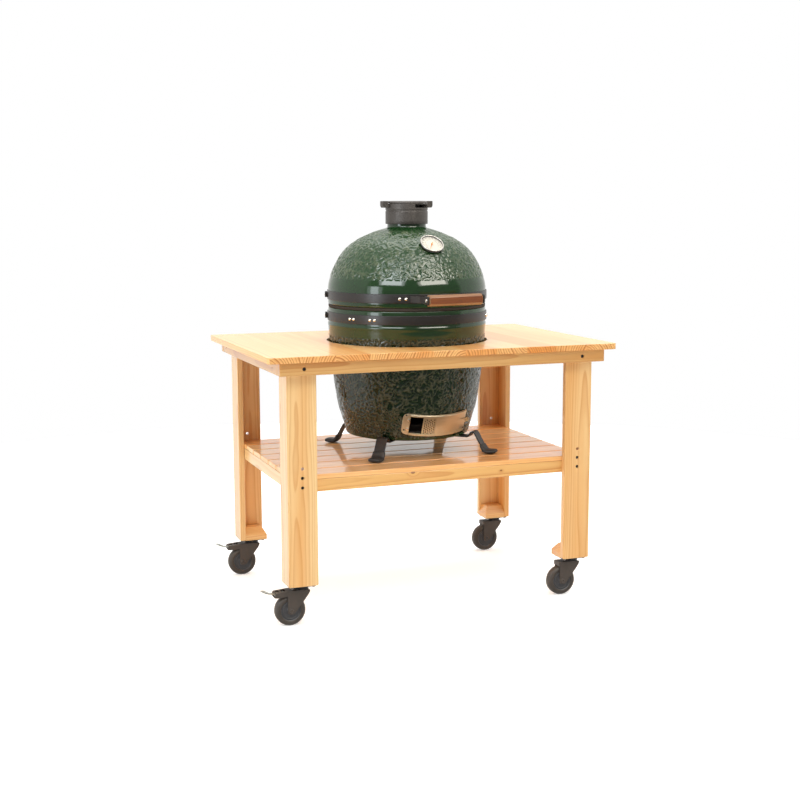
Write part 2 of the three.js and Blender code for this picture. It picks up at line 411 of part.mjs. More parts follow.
// --------------------------------------------------------------------- stand
// flat-bar legs under the bowl, each with a kink that holds the bowl's edge and
// a rubber boot whose toe turns outwards
const bar = (pts, w) => prism(pts, "x", -w / 2, w / 2);
function standLeg(a) {
  const g = bar([[60, 547.6], [222, 547.6], [232, 562], [240, 566.5], [247, 565], [279, 508.5], [287, 501], [314, 501], [314, 496], [284, 496], [275.5, 504.5], [243.5, 560], [236, 558.5], [225.5, 542.6], [60, 542.6]], 38);
  return g.rotateZ(rad(180 + a));
}
function boot(a) {
  const g = bar([[268, 521], [276.5, 526], [290, 505.5], [317, 505.5], [322, 501], [322, 494], [318, SHELF_Z + GAP], [278, SHELF_Z + GAP], [273, 495], [266, 509]], 46);
  return g.rotateZ(rad(180 + a));
}
const standA = [-LEG_F, LEG_F, -LEG_B, LEG_B];
piece(stand, "kamado_stand", join(turned([[90, 542.4], [150, 542.4], [150, 547.7], [90, 547.7]], 24), ...standA.map(standLeg), ...standA.map(boot)), BLACK);

export default object;
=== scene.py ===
"""Kamado grill table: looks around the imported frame. Metres, +Z up; shapes are drawn in millimetres and scaled."""
import math
import random

import bmesh
import bpy
import numpy as np
from mathutils import Matrix, Vector, noise


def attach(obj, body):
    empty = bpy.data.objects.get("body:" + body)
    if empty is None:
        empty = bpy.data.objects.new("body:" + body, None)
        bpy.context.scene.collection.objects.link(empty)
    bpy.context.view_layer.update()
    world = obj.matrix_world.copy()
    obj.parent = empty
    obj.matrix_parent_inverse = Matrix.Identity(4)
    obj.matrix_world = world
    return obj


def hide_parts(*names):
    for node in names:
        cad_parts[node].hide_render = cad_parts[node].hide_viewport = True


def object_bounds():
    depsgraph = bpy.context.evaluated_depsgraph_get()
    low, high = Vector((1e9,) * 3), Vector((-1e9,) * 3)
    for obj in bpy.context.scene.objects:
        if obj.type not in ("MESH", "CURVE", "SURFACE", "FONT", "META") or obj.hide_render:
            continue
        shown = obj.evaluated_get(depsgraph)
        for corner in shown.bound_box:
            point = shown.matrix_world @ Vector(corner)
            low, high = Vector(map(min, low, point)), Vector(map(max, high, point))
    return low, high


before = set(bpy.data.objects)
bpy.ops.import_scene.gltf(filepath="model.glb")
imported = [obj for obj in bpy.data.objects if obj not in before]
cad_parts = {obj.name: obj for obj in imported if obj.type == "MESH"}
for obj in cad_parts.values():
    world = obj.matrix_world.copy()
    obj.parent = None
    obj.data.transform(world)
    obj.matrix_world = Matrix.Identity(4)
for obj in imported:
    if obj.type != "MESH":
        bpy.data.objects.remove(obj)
cad_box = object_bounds()

rad = math.radians
MM = 0.001


def place(deg, x=5.0, y=0.0):
    """From a group's own millimetres to the part's metres."""
    return Matrix.Scale(MM, 4) @ Matrix.Translation((x, y, 0)) @ Matrix.Rotation(rad(deg), 4, "Z")


TABLE, GRILL, STAND = place(0), place(7.5, 9.5), place(2, 19.0, -5.0)

# ============================================================ shape helpers


class Piece:
    """Collects closed shells in millimetres and turns them into one object."""

    def __init__(self):
        self.v, self.f, self.m, self.g, self.t, self.w = [], [], [], [], [], []
        self.n = 0

    def add(self, verts, faces, mat=0, grain=None, tint=0.0, weights=None):
        verts = np.asarray(verts, float).reshape(-1, 3)
        self.v.append(verts)
        n = self.n
        self.f.extend([tuple(int(i) + n for i in f) for f in faces])
        self.m.extend([mat] * len(faces) if isinstance(mat, int) else list(mat))
        self.g.append(np.zeros((len(verts), 3)) if grain is None else np.asarray(grain, float))
        self.t.append(np.full(len(verts), float(tint)))
        if weights:
            self.w.extend([(a + n, b + n, w) for a, b, w in weights])
        self.n += len(verts)
        return self

    def build(self, name, M, mats, body, nodes=(), slot=None, bevel=0.0, seg=2, angle=38, weighted=0.0, uv=None, flat=False):
        V = np.concatenate(self.v)
        R = np.array(M)
        P = V @ R[:3, :3].T + R[:3, 3]
        me = bpy.data.meshes.new(name)
        me.from_pydata(P.tolist(), [], self.f)
        me.update()
        me.polygons.foreach_set("material_index", np.array(self.m, np.int32))
        G = np.concatenate(self.g)
        if np.abs(G).max() > 0:
            a = me.attributes.new("grain", "FLOAT_VECTOR", "POINT")
            a.data.foreach_set("vector", (G * MM).astype(np.float32).ravel())
            b = me.attributes.new("tint", "FLOAT", "POINT")
            b.data.foreach_set("value", np.concatenate(self.t).astype(np.float32))
        if self.w:
            look = {tuple(sorted(e.vertices)): e.index for e in me.edges}
            val = np.zeros(len(me.edges), np.float32)
            for a_, b_, w_ in self.w:
                k = look.get(tuple(sorted((a_, b_))))
                if k is not None:
                    val[k] = w_
            at = me.attributes.new("bevel_weight_edge", "FLOAT", "EDGE")
            at.data.foreach_set("value", val)
        if uv is not None:
            layer = me.uv_layers.new(name="OFBake")
            layer.data.foreach_set("uv", np.asarray(uv, np.float32).ravel())
        bm = bmesh.new()
        bm.from_mesh(me)
        bmesh.ops.recalc_face_normals(bm, faces=bm.faces)
        bm.to_mesh(me)
        bm.free()
        me.polygons.foreach_set("use_smooth", np.full(len(me.polygons), not flat))
        if not flat:
            me.set_sharp_from_angle(angle=rad(angle))
        for m in mats:
            me.materials.append(m)
        o = bpy.data.objects.new(name, me)
        bpy.context.scene.collection.objects.link(o)
        if weighted or bevel:
            b = o.modifiers.new("edges", "BEVEL")
            b.limit_method = "WEIGHT" if weighted else "ANGLE"
            b.width = (weighted or bevel) * MM
            b.segments = seg
            b.profile = 0.5
            b.use_clamp_overlap = not weighted
            b.harden_normals = False
            if not weighted:
                b.angle_limit = rad(angle)
        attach(o, body)
        if nodes:
            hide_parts(*([nodes] if isinstance(nodes, str) else nodes))
        return o


def box_shell(lo, hi):
    (x0, y0, z0), (x1, y1, z1) = lo, hi
    v = [(x, y, z) for z in (z0, z1) for y in (y0, y1) for x in (x0, x1)]
    f = [(0, 2, 3, 1), (4, 5, 7, 6), (0, 1, 5, 4), (2, 6, 7, 3), (0, 4, 6, 2), (1, 3, 7, 5)]
    return v, f


def rounded_box(lo, hi, r, seg=3):
    bm = bmesh.new()
    v, f = box_shell(lo, hi)
    vs = [bm.verts.new(p) for p in v]
    for q in f:
        bm.faces.new([vs[i] for i in q])
    bmesh.ops.bevel(bm, geom=bm.edges[:], offset=r, segments=seg, profile=0.5, affect="EDGES", clamp_overlap=True)
    bm.verts.index_update()
    out = [tuple(p.co) for p in bm.verts], [[q.index for q in g.verts] for g in bm.faces]
    bm.free()
    return out


def fillet(pts, r, n=4, closed=True):
    """Rounds a polygon's corners; r is one radius or one for each corner."""
    m, out = len(pts), []
    rs = [r] * m if np.isscalar(r) else list(r)
    for i, p in enumerate(pts):
        p = np.array(p, float)
        if not closed and i in (0, m - 1) or rs[i] <= 0:
            out.append(tuple(p))
            continue
        a, b = np.array(pts[i - 1], float) - p, np.array(pts[(i + 1) % m], float) - p
        la, lb = np.linalg.norm(a), np.linalg.norm(b)
        a, b = a / la, b / lb
        half = math.acos(max(-1, min(1, float(a @ b)))) / 2
        if abs(half - math.pi / 2) < 1e-3 or half < 1e-3:
            out.append(tuple(p))
            continue
        d = min(rs[i] / math.tan(half), la * 0.49, lb * 0.49)
        rr = d * math.tan(half)
        c = p + (a + b) / np.linalg.norm(a + b) * (rr / math.sin(half))
        s, e = p + a * d - c, p + b * d - c
        t0 = math.atan2(s[1], s[0])
        dt = (math.atan2(e[1], e[0]) - t0 + math.pi) % (2 * math.pi) - math.pi
        for k in range(n + 1):
            t = t0 + dt * k / n
            out.append((c[0] + rr * math.cos(t), c[1] + rr * math.sin(t)))
    return out


def lathe(profile, n=64, a0=0.0, a1=360.0, closed=True):
    """Turns [radius, height] about Z. Angles are counted from -Y towards +X."""
    full = abs(a1 - a0) >= 359.999
    k = len(profile)
    cols = n if full else n + 1
    V, F = [], []
    idx = np.full((cols, k), -1, int)
    for j, (r, z) in enumerate(profile):
        if r < 1e-6 and full:
            V.append((0, 0, z))
            idx[:, j] = len(V) - 1
            continue
        for i in range(cols):
            a = rad(a0 + (a1 - a0) * i / n)
            V.append((r * math.sin(a), -r * math.cos(a), z))
            idx[i, j] = len(V) - 1
    last = k if closed else k - 1
    for i in range(n):
        i2 = (i + 1) % cols
        for j in range(last):
            j2 = (j + 1) % k
            q = [idx[i, j], idx[i2, j], idx[i2, j2], idx[i, j2]]
            q = [x for n_, x in enumerate(q) if x not in q[:n_]]
            if len(q) >= 3:
                F.append(q)
    if not full and closed:
        F.append(list(idx[0, ::-1]))
        F.append(list(idx[-1, :]))
    return V, F


def turn(V, deg=0.0, off=(0, 0, 0)):
    V = np.asarray(V, float).copy()
    c, s = math.cos(rad(deg)), math.sin(rad(deg))
    x, y = V[:, 0].copy(), V[:, 1].copy()
    V[:, 0], V[:, 1] = x * c - y * s, x * s + y * c
    return V + np.array(off, float)


def apply(V, M):
    V, R = np.asarray(V, float), np.array(M)
    return V @ R[:3, :3].T + R[:3, 3]


def sub(poly, step):
    """Adds points along a closed polygon so that no side is longer than step."""
    out = []
    for i, p in enumerate(poly):
        q = poly[(i + 1) % len(poly)]
        d = math.dist(p, q)
        k = max(1, int(math.ceil(d / step)))
        out += [(p[0] + (q[0] - p[0]) * t / k, p[1] + (q[1] - p[1]) * t / k) for t in range(k)]
    return out


def inside(px, py, poly):
    poly = np.asarray(poly)
    x0, y0 = poly[:, 0], poly[:, 1]
    x1, y1 = np.roll(x0, -1), np.roll(y0, -1)
    cond = (y0 > py) != (y1 > py)
    with np.errstate(divide="ignore", invalid="ignore"):
        xx = (x1 - x0) * (py - y0) / (y1 - y0) + x0
    return bool(np.count_nonzero(cond & (px < xx)) % 2)


def plate(outline, holes, low, high, step=6.0, fill=None):
    """A sheet with holes: low and high map a flat point to its two faces."""
    from mathutils.geometry import delaunay_2d_cdt

    loops = [sub(outline, step)] + [sub(h, step) for h in holes]
    pts, edges = [], []
    for lp in loops:
        n = len(pts)
        pts += [Vector(p) for p in lp]
        edges += [(n + i, n + (i + 1) % len(lp)) for i in range(len(lp))]
    if fill:
        xs = [p[0] for p in outline]
        ys = [p[1] for p in outline]
        for x in np.arange(min(xs) + fill[0] / 2, max(xs), fill[0]):
            for y in np.arange(min(ys) + fill[1] / 2, max(ys), fill[1]):
                if inside(x, y, outline) and not any(inside(x, y, h) for h in holes):
                    near = min(math.dist((x, y), q) for lp in loops for q in lp)
                    if near > min(fill) * 0.45:
                        pts.append(Vector((x, y)))
    V2, _, F2, *_ = delaunay_2d_cdt(pts, edges, [], 0, 1e-5)
    keep = []
    for f in F2:
        c = sum((V2[i] for i in f), Vector((0, 0))) / len(f)
        if inside(c[0], c[1], loops[0]) and not any(inside(c[0], c[1], h) for h in loops[1:]):
            keep.append(list(f))
    used = sorted({i for f in keep for i in f})
    ren = {o: k for k, o in enumerate(used)}
    n = len(used)
    A = [low(*V2[i]) for i in used]
    B = [high(*V2[i]) for i in used]
    F = [[ren[i] for i in f[::-1]] for f in keep] + [[ren[i] + n for i in f] for f in keep]
    seen = {}
    for f in keep:
        for i in range(len(f)):
            a, b = ren[f[i]], ren[f[(i + 1) % len(f)]]
            seen[(a, b)] = seen.get((a, b), 0) + 1
    for a, b in seen:
        if (b, a) not in seen:
            F.append([a, b, b + n, a + n])
    return A + B, F


def flat_plate(outline, holes, axis, lo, hi, step=50.0):
    def at(w):
        if axis == "x":
            return lambda u, v: (w, u, v)
        if axis == "y":
            return lambda u, v: (u, w, v)
        return lambda u, v: (u, v, w)
    return plate(outline, holes, at(lo), at(hi), step)


def strip(path, t, lo, hi, axis="x"):
    """Flat bar: a path of (u, v) points of thickness t, as wide as lo..hi along axis."""
    P = np.array(path, float)
    d = np.gradient(P, axis=0)
    d /= np.linalg.norm(d, axis=1)[:, None]
    nrm = np.c_[-d[:, 1], d[:, 0]]
    # bends keep their thickness
    seg = np.diff(P, axis=0)
    seg /= np.linalg.norm(seg, axis=1)[:, None]
    k = np.ones(len(P))
    k[1:-1] = 1 / np.clip(np.sqrt((1 + (seg[:-1] * seg[1:]).sum(1)) / 2), 0.6, 1)
    A, B = P + nrm * (t / 2 * k)[:, None], P - nrm * (t / 2 * k)[:, None]
    V = []
    for w in (lo, hi):
        for S in (A, B):
            for u, v in S:
                V.append({"x": (w, u, v), "y": (u, w, v), "z": (u, v, w)}[axis])
    n, F = len(P), []
    for i in range(n - 1):
        F += [[i, i + 1, 2 * n + i + 1, 2 * n + i], [n + i, 3 * n + i, 3 * n + i + 1, n + i + 1],
              [i, n + i, n + i + 1, i + 1], [2 * n + i, 2 * n + i + 1, 3 * n + i + 1, 3 * n + i]]
    F += [[0, 2 * n, 3 * n, n], [n - 1, 2 * n - 1, 4 * n - 1, 3 * n - 1]]
    return V, F


def tube(path, r, n=10, closed_ends=True):
    P = np.array(path, float)
    T = np.gradient(P, axis=0)
    T /= np.linalg.norm(T, axis=1)[:, None]
    up = np.array([0, 0, 1.0]) if abs(T[0][2]) < 0.9 else np.array([1.0, 0, 0])
    V, F = [], []
    u = np.cross(T[0], up)
    for p, t in zip(P, T):
        u = u - t * (u @ t)
        u /= np.linalg.norm(u)
        w = np.cross(t, u)
        for i in range(n):
            a = 2 * math.pi * i / n
            V.append(p + r * (math.cos(a) * u + math.sin(a) * w))
    for k in range(len(P) - 1):
        for i in range(n):
            F.append([k * n + i, k * n + (i + 1) % n, (k + 1) * n + (i + 1) % n, (k + 1) * n + i])
    if closed_ends:
        F.append(list(range(n))[::-1])
        F.append([(len(P) - 1) * n + i for i in range(n)])
    return V, F


def along(V, axis):
    """A shape drawn about +Z, laid along another axis."""
    V = np.asarray(V, float)
    return {"y": V[:, [0, 2, 1]] * [1, 1, -1], "-y": V[:, [0, 2, 1]] * [1, -1, 1], "x": V[:, [2, 1, 0]] * [1, 1, -1], "-x": V[:, [2, 1, 0]] * [-1, 1, 1]}[axis]


# ============================================================ wood helpers
seeded = random.Random(7)


def grain(V, lo, hi, axis, pith, shift):
    """Places a board in its tree: along the grain, then across from the pith."""
    V = np.asarray(V, float)
    c = [(a + b) / 2 for a, b in zip(lo, hi)]
    u, v, w = {"x": (0, 1, 2), "y": (1, 0, 2), "z": (2, 0, 1)}[axis]
    if axis == "z" and hi[0] - lo[0] < hi[1] - lo[1]:
        v, w = 1, 0
    if axis != "z" and hi[2] - lo[2] > (hi[v] - lo[v]):
        v, w = w, v
    return np.c_[V[:, u] - c[u] + shift, V[:, v] - c[v] - pith[0], V[:, w] - c[w] - pith[1]]


def some_pith():
    side = seeded.choice((-1, 1))
    return seeded.uniform(-34, 34), side * seeded.uniform(24, 70)


def board(piece, lo, hi, axis, r=1.0, pith=None, holes=(), tight=(), mat=0, hole_axis=None, shift=None, soft=()):
    """One board with rounded edges. holes are (u, v, radius) through it along
    hole_axis. tight edges, which meet a neighbour, keep a fine edge."""
    pith = pith or some_pith()
    shift = seeded.uniform(-4000, 4000) if shift is None else shift
    tint = seeded.random()
    if not holes:
        V, F = box_shell(lo, hi)
    else:
        k = "xyz".index(hole_axis)
        u, v = [i for i in range(3) if i != k]
        us = sorted({lo[u], hi[u], *[h[0] - h[2] * 1.9 for h in holes], *[h[0] + h[2] * 1.9 for h in holes]})
        vs = sorted({lo[v], hi[v], *[h[1] - h[2] * 1.9 for h in holes], *[h[1] + h[2] * 1.9 for h in holes]})
        V, F, ids = [], [], {}

        def vert(a, b, w):
            key = (round(a, 4), round(b, 4), w)
            if key not in ids:
                p = [0, 0, 0]
                p[u], p[v], p[k] = a, b, (lo[k], hi[k])[w]
                V.append(p)
                ids[key] = len(V) - 1
            return ids[key]

        for a0, a1 in zip(us, us[1:]):
            for b0, b1 in zip(vs, vs[1:]):
                hit = [h for h in holes if a0 < h[0] < a1 and b0 < h[1] < b1]
                for w in (0, 1):
                    cs = [(a0, b0), (a1, b0), (a1, b1), (a0, b1)]
                    if not hit:
                        F.append([vert(*c, w) for c in cs])
                        continue
                    h = hit[0]
                    ring = [(h[0] + h[2] * math.cos(rad(225 + 360 * i / 24)), h[1] + h[2] * math.sin(rad(225 + 360 * i / 24))) for i in range(24)]
                    for q in range(4):
                        arc = [ring[(q * 6 + i) % 24] for i in range(7)]
                        F.append([vert(*cs[q], w), vert(*cs[(q + 1) % 4], w)] + [vert(*c, w) for c in arc[::-1]])
                    if w == 0:
                        for i in range(24):
                            F.append([vert(*ring[i], 0), vert(*ring[(i + 1) % 24], 0), vert(*ring[(i + 1) % 24], 1), vert(*ring[i], 1)])
        for a0, a1 in zip(us, us[1:]):
            for b in (vs[0], vs[-1]):
                F.append([vert(a0, b, 0), vert(a1, b, 0), vert(a1, b, 1), vert(a0, b, 1)])
        for b0, b1 in zip(vs, vs[1:]):
            for a in (us[0], us[-1]):
                F.append([vert(a, b0, 0), vert(a, b1, 0), vert(a, b1, 1), vert(a, b0, 1)])
    # outer edges of the box carry the rounding's weight
    A = np.asarray(V, float)
    edges = set()
    for f in F:
        for i in range(len(f)):
            edges.add(tuple(sorted((f[i], f[(i + 1) % len(f)]))))
    weights = []
    for a, b in edges:
        on = [k for k in range(3) if abs(A[a][k] - A[b][k]) < 1e-6 and (abs(A[a][k] - lo[k]) < 1e-6 or abs(A[a][k] - hi[k]) < 1e-6)]
        if len(on) < 2:
            continue
        fine = any(all(k in on and abs(A[a][k] - (lo, hi)[s][k]) < 1e-6 for k, s in e) for e in tight)
        full = any(all(k in on and abs(A[a][k] - (lo, hi)[s][k]) < 1e-6 for k, s in e) for e in soft)
        weights.append((a, b, (1.0 if full else 0.14 * r if fine else r)))
    piece.add(V, F, mat, grain(V, lo, hi, axis, pith, shift), tint, weights)


# ============================================================ material helpers
def srgb(r, g, b, a=1.0):
    f = lambda c: c / 12.92 if c <= 0.04045 else ((c + 0.055) / 1.055) ** 2.4
    return (f(r / 255), f(g / 255), f(b / 255), a)


class Nodes:
    def __init__(self, name):
        self.mat = bpy.data.materials.new(name)
        self.mat.use_nodes = True
        self.t = self.mat.node_tree
        self.t.nodes.clear()
        self.out = self.t.nodes.new("ShaderNodeOutputMaterial")
        self.b = self.t.nodes.new("ShaderNodeBsdfPrincipled")
        self.t.links.new(self.b.outputs[0], self.out.inputs[0])

    def put(self, sock, val):
        if isinstance(val, bpy.types.NodeSocket):
            self.t.links.new(val, sock)
        elif val is not None:
            sock.default_value = val

    def set(self, **kw):
        for k, v in kw.items():
            self.put(self.b.inputs[k.replace("_", " ")], v)
        return self

    def node(self, kind, ins=None, out=0, **props):
        n = self.t.nodes.new("ShaderNode" + kind)
        for k, v in props.items():
            setattr(n, k, v)
        for k, v in (ins or {}).items():
            self.put(n.inputs[k], v)
        return n.outputs[out]

    def math(self, op, a, b=None, c=None, clamp=False):
        return self.node("Math", {0: a, **({1: b} if b is not None else {}), **({2: c} if c is not None else {})}, operation=op, use_clamp=clamp)

    def vec(self, op, a, b=None):
        n = self.t.nodes.new("ShaderNodeVectorMath")
        n.operation = op
        self.put(n.inputs[0], a)
        if b is not None:
            self.put(n.inputs[1], b)
        return n.outputs["Value" if op in ("LENGTH", "DOT_PRODUCT", "DISTANCE") else "Vector"]

    def mix(self, f, a, b, blend="MIX"):
        n = self.t.nodes.new("ShaderNodeMix")
        n.data_type = "RGBA"
        n.blend_type = blend
        self.put(n.inputs[0], f)
        self.put(n.inputs[6], a)
        self.put(n.inputs[7], b)
        return n.outputs[2]

    def noise(self, v, scale, detail=2.0, rough=0.5, out=0, dist=0.0):
        return self.node("TexNoise", {"Vector": v, "Scale": scale, "Detail": detail, "Roughness": rough, "Distortion": dist}, out=out)

    def ramp(self, f, stops, ease="LINEAR"):
        n = self.t.nodes.new("ShaderNodeValToRGB")
        n.color_ramp.interpolation = ease
        e = n.color_ramp.elements
        while len(e) > 1:
            e.remove(e[-1])
        for i, (p, c) in enumerate(stops):
            x = e[0] if i == 0 else e.new(p)
            x.position = p
            x.color = c if hasattr(c, "__len__") else (c, c, c, 1)
        self.put(n.inputs[0], f)
        return n.outputs[0]

    def span(self, v, a, b, c, d):
        return self.node("MapRange", {0: v, 1: a, 2: b, 3: c, 4: d})

    def bump(self, h, dist, strength=1.0):
        self.put(self.b.inputs["Normal"], self.node("Bump", {"Strength": strength, "Distance": dist, "Height": h}))
        return self

    def coords(self):
        return self.node("TexCoord", out=3)


def pine(name, knots=(), light=(238, 204, 146), dark=(202, 134, 64), warm=(224, 161, 86), end=None, coat=1.0, wide=0.0060, spread=0.55):
    """Flat-sawn pine under clear gloss varnish. knots are (along, across, size)
    in metres in the board's own place in its tree."""
    n = Nodes(name)
    g = n.node("Attribute", attribute_name="grain", out=1)
    tint = n.node("Attribute", attribute_name="tint", out=2)
    x, y, z = [n.node("SeparateXYZ", {0: g}, out=i) for i in range(3)]
    slow = n.noise(n.vec("MULTIPLY", g, (1.3, 8.0, 8.0)), 1.0, 2.0, 0.5)
    wave = n.noise(n.vec("MULTIPLY", g, (7.0, 22.0, 22.0)), 1.0, 1.0, 0.5)
    R = n.vec("LENGTH", n.node("CombineXYZ", {0: 0.0, 1: y, 2: z}))
    R = n.math("ADD", R, n.math("MULTIPLY", x, 0.011))
    R = n.math("ADD", R, n.math("MULTIPLY", n.math("SUBTRACT", slow, 0.5), 0.030))
    R = n.math("ADD", R, n.math("MULTIPLY", n.math("SUBTRACT", wave, 0.5), 0.0035))
    core = None
    for u0, v0, s in knots:
        d = n.vec("LENGTH", n.vec("MULTIPLY", n.vec("SUBTRACT", g, (u0, v0, 0.0)), (0.62, 1.0, 0.0)))
        bend = n.node("MapRange", {0: d, 1: 0.0, 2: s * 4.5, 3: s * 1.5, 4: 0.0}, interpolation_type="SMOOTHERSTEP")
        R = n.math("ADD", R, bend)
        k = n.node("MapRange", {0: d, 1: s * 0.75, 2: s * 1.15, 3: 1.0, 4: 0.0}, interpolation_type="SMOOTHSTEP")
        core = k if core is None else n.math("MAXIMUM", core, k)
    t = n.math("DIVIDE", R, wide)
    t = n.math("ADD", t, n.math("MULTIPLY", n.noise(n.node("CombineXYZ", {0: n.math("MULTIPLY", t, 0.33), 1: 0.0, 2: 0.0}), 1.0, 1.0), 1.6))
    f = n.math("FRACT", t)
    ring = n.ramp(f, [(0.0, 0.10), (0.12, 0.0), (0.42, 0.10), (0.72, 0.55), (0.90, 1.0), (0.965, 0.9), (1.0, 0.10)])
    power = n.node("TexWhiteNoise", {"W": n.math("FLOOR", t)}, noise_dimensions="1D")
    ring = n.math("MULTIPLY", ring, n.math("MULTIPLY_ADD", power, 0.6, 0.40))
    warmth = n.noise(n.vec("MULTIPLY", g, (0.9, 13.0, 13.0)), 1.0, 2.0, 0.55)
    warmth = n.span(warmth, 0.34, 0.72, 0.0, 0.85)
    warmth = n.math("ADD", warmth, n.math("MULTIPLY", n.math("SUBTRACT", tint, 0.5), spread), clamp=True)
    base = n.mix(warmth, srgb(*light), srgb(*warm))
    col = n.mix(n.math("MULTIPLY", ring, 0.66), base, srgb(*dark))
    if end is not None:
        # cut ends drink more varnish: darker, with the rings standing out
        cut = n.math("ABSOLUTE", n.node("SeparateXYZ", {0: n.node("NewGeometry", out=3)}, out=end))
        cut = n.span(cut, 0.75, 0.9, 0.0, 1.0)
        col = n.mix(n.math("MULTIPLY", cut, n.math("MULTIPLY_ADD", ring, 1.0, 0.06), clamp=True), col, srgb(178, 104, 48))
    fibre = n.noise(n.vec("MULTIPLY", g, (9.0, 620.0, 620.0)), 1.0, 2.0, 0.6)
    col = n.mix(n.span(fibre, 0.25, 0.8, 0.0, 0.16), col, srgb(205, 140, 80))
    pores = n.ramp(n.noise(n.vec("MULTIPLY", g, (26.0, 900.0, 900.0)), 1.0, 1.0, 0.5), [(0.0, 0.0), (0.66, 0.0), (0.74, 1.0)])
    col = n.mix(n.math("MULTIPLY", pores, 0.16), col, srgb(176, 108, 56))
    if core is not None:
        grit = n.noise(g, 260.0, 3.0, 0.6)
        col = n.mix(n.math("MULTIPLY", core, n.math("MULTIPLY_ADD", grit, 0.5, 0.55)), col, srgb(120, 62, 30))
    n.set(Base_Color=col, Roughness=n.math("MULTIPLY_ADD", ring, -0.06, 0.42), Coat_Weight=coat, Coat_Roughness=0.055, Coat_IOR=1.5, Specular_IOR_Level=0.25)
    n.bump(n.math("MULTIPLY_ADD", ring, 0.6, n.math("MULTIPLY", fibre, 0.5)), 0.00010, 0.5)
    coat = n.node("Bump", {"Strength": 0.22, "Distance": 0.0003, "Height": n.noise(n.vec("MULTIPLY", g, (14.0, 60.0, 60.0)), 1.0, 2.0)})
    n.put(n.b.inputs["Coat Normal"], coat)
    return n.mat


def glaze(name, pits, ridges, amount):
    """Deep green glaze over crinkled clay. The crinkled region takes a painted tone: painted shade on the shaded copy,
    painted sheen on the lit copy. The crests take a painted highlight."""
    n = Nodes(name)
    c = n.coords()
    high = n.node("Attribute", attribute_name="high", out=2)
    high = n.math("MAXIMUM", high, 0.0)
    blotch = n.noise(c, 9.0, 3.0, 0.55)
    fine = n.noise(c, 130.0, 3.0, 0.6)
    col = n.mix(n.span(blotch, 0.35, 0.7, 0.0, 1.0), (0.0080, 0.034, 0.0082, 1), (0.0112, 0.044, 0.0115, 1))
    rugged = n.node("Attribute", attribute_name="crinkle", out=2)
    # painted tone over the crinkled region: darker as painted shade on the shaded copy, lighter as painted sheen on the
    # lit copy
    col = n.mix(n.math("MULTIPLY", rugged, 0.8), col, pits)
    # painted highlight on the crinkle's crests, where the 'high' attribute is near 1
    edge = n.math("MULTIPLY", n.math("POWER", high, 2.0), n.math("MULTIPLY_ADD", fine, 0.5, 0.65), clamp=True)
    col = n.mix(n.math("MULTIPLY", edge, amount), col, ridges)
    n.set(Base_Color=col, Roughness=n.math("MULTIPLY_ADD", fine, 0.05, 0.06), IOR=1.54)
    ripple = n.noise(c, 55.0, 2.0, 0.5)
    rough = n.math("MULTIPLY", n.noise(c, 150.0, 2.0, 0.5), rugged)
    relief = n.math("MULTIPLY_ADD", rough, 0.06, n.math("MULTIPLY", ripple, 0.05))
    n.bump(n.math("ADD", relief, n.math("MULTIPLY", high, 0.25)), 0.0016, 0.7)
    return n.mat


def plain(name, col, rough, var=0.12, scale=60.0, metal=0.0, bump=0.0, bump_scale=400.0, dist=0.0002, spread=0.05, tone=None, **kw):
    """A finish with mottled tone, uneven gloss and a fine tooth."""
    n = Nodes(name)
    c = n.coords()
    a = n.noise(c, scale, 4.0, 0.6)
    base = n.mix(n.span(a, 0.3, 0.7, 0.0, 1.0), tuple(x * (1 - var) for x in col[:3]) + (1,), tuple(min(1, x * (1 + var)) for x in col[:3]) + (1,))
    if tone:
        base = n.mix(n.span(n.noise(c, 7.0, 2.0), 0.4, 0.7, 0.0, 1.0), base, tone)
    n.set(Base_Color=base, Metallic=metal, Roughness=n.math("MULTIPLY_ADD", n.noise(c, scale * 2.2, 2.0), spread * 2, rough - spread), **kw)
    if bump:
        n.bump(n.noise(c, bump_scale, 3.0, 0.6), dist, bump)
    return n.mat


def brushed(name, col, rough, stretch=(14.0, 14.0, 900.0), dark=None, **kw):
    n = Nodes(name)
    c = n.coords()
    s = n.noise(n.vec("MULTIPLY", c, stretch), 1.0, 3.0, 0.65)
    b = n.noise(c, 24.0, 3.0, 0.5)
    base = n.mix(n.span(s, 0.25, 0.75, 0.0, 1.0), tuple(x * 0.82 for x in col[:3]) + (1,), col)
    base = n.mix(n.span(b, 0.45, 0.75, 0.0, 0.35), base, dark or tuple(x * 0.7 for x in col[:3]) + (1,))
    n.set(Base_Color=base, Metallic=1.0, Roughness=n.math("MULTIPLY_ADD", s, 0.14, rough - 0.07), **kw)
    n.bump(s, 0.00006, 0.5)
    return n.mat


PINE = pine("pine")
# painted light: a lighter copy of the pine for the shelf slats, making up for the shade under the table top
PINE_SLAT = pine("pine_slat_lit", light=(254, 214, 156), warm=(244, 174, 96), dark=(218, 146, 74), coat=0.85, spread=0.7)
PINE_TOP = pine("pine_top", end=1, light=(243, 194, 124), warm=(233, 156, 74), dark=(208, 132, 64), coat=0.6, wide=0.0088, spread=0.9)
# painted shade: a darker copy of the pine for the aprons, for the shade under the top's overhang
PINE_APRON = pine("pine_apron_shaded", light=(216, 177, 114), warm=(196, 135, 65), dark=(176, 107, 45))
PINE_FL = pine("pine_front_leg", knots=[(-0.098, -0.036, 0.0040), (-0.150, -0.050, 0.0022)])
PINE_RAIL = pine("pine_rail", light=(232, 184, 112), warm=(213, 138, 62), dark=(190, 112, 46), knots=[(-0.105, 0.012, 0.0045), (0.210, -0.004, 0.0028)])
# painted sheen: the lit copy of the glaze for the dome, its crinkled tone lighter than the plain green
GLAZE = glaze("green_glaze", (0.0150, 0.050, 0.0150, 1), (0.130, 0.150, 0.085, 1), 0.75)
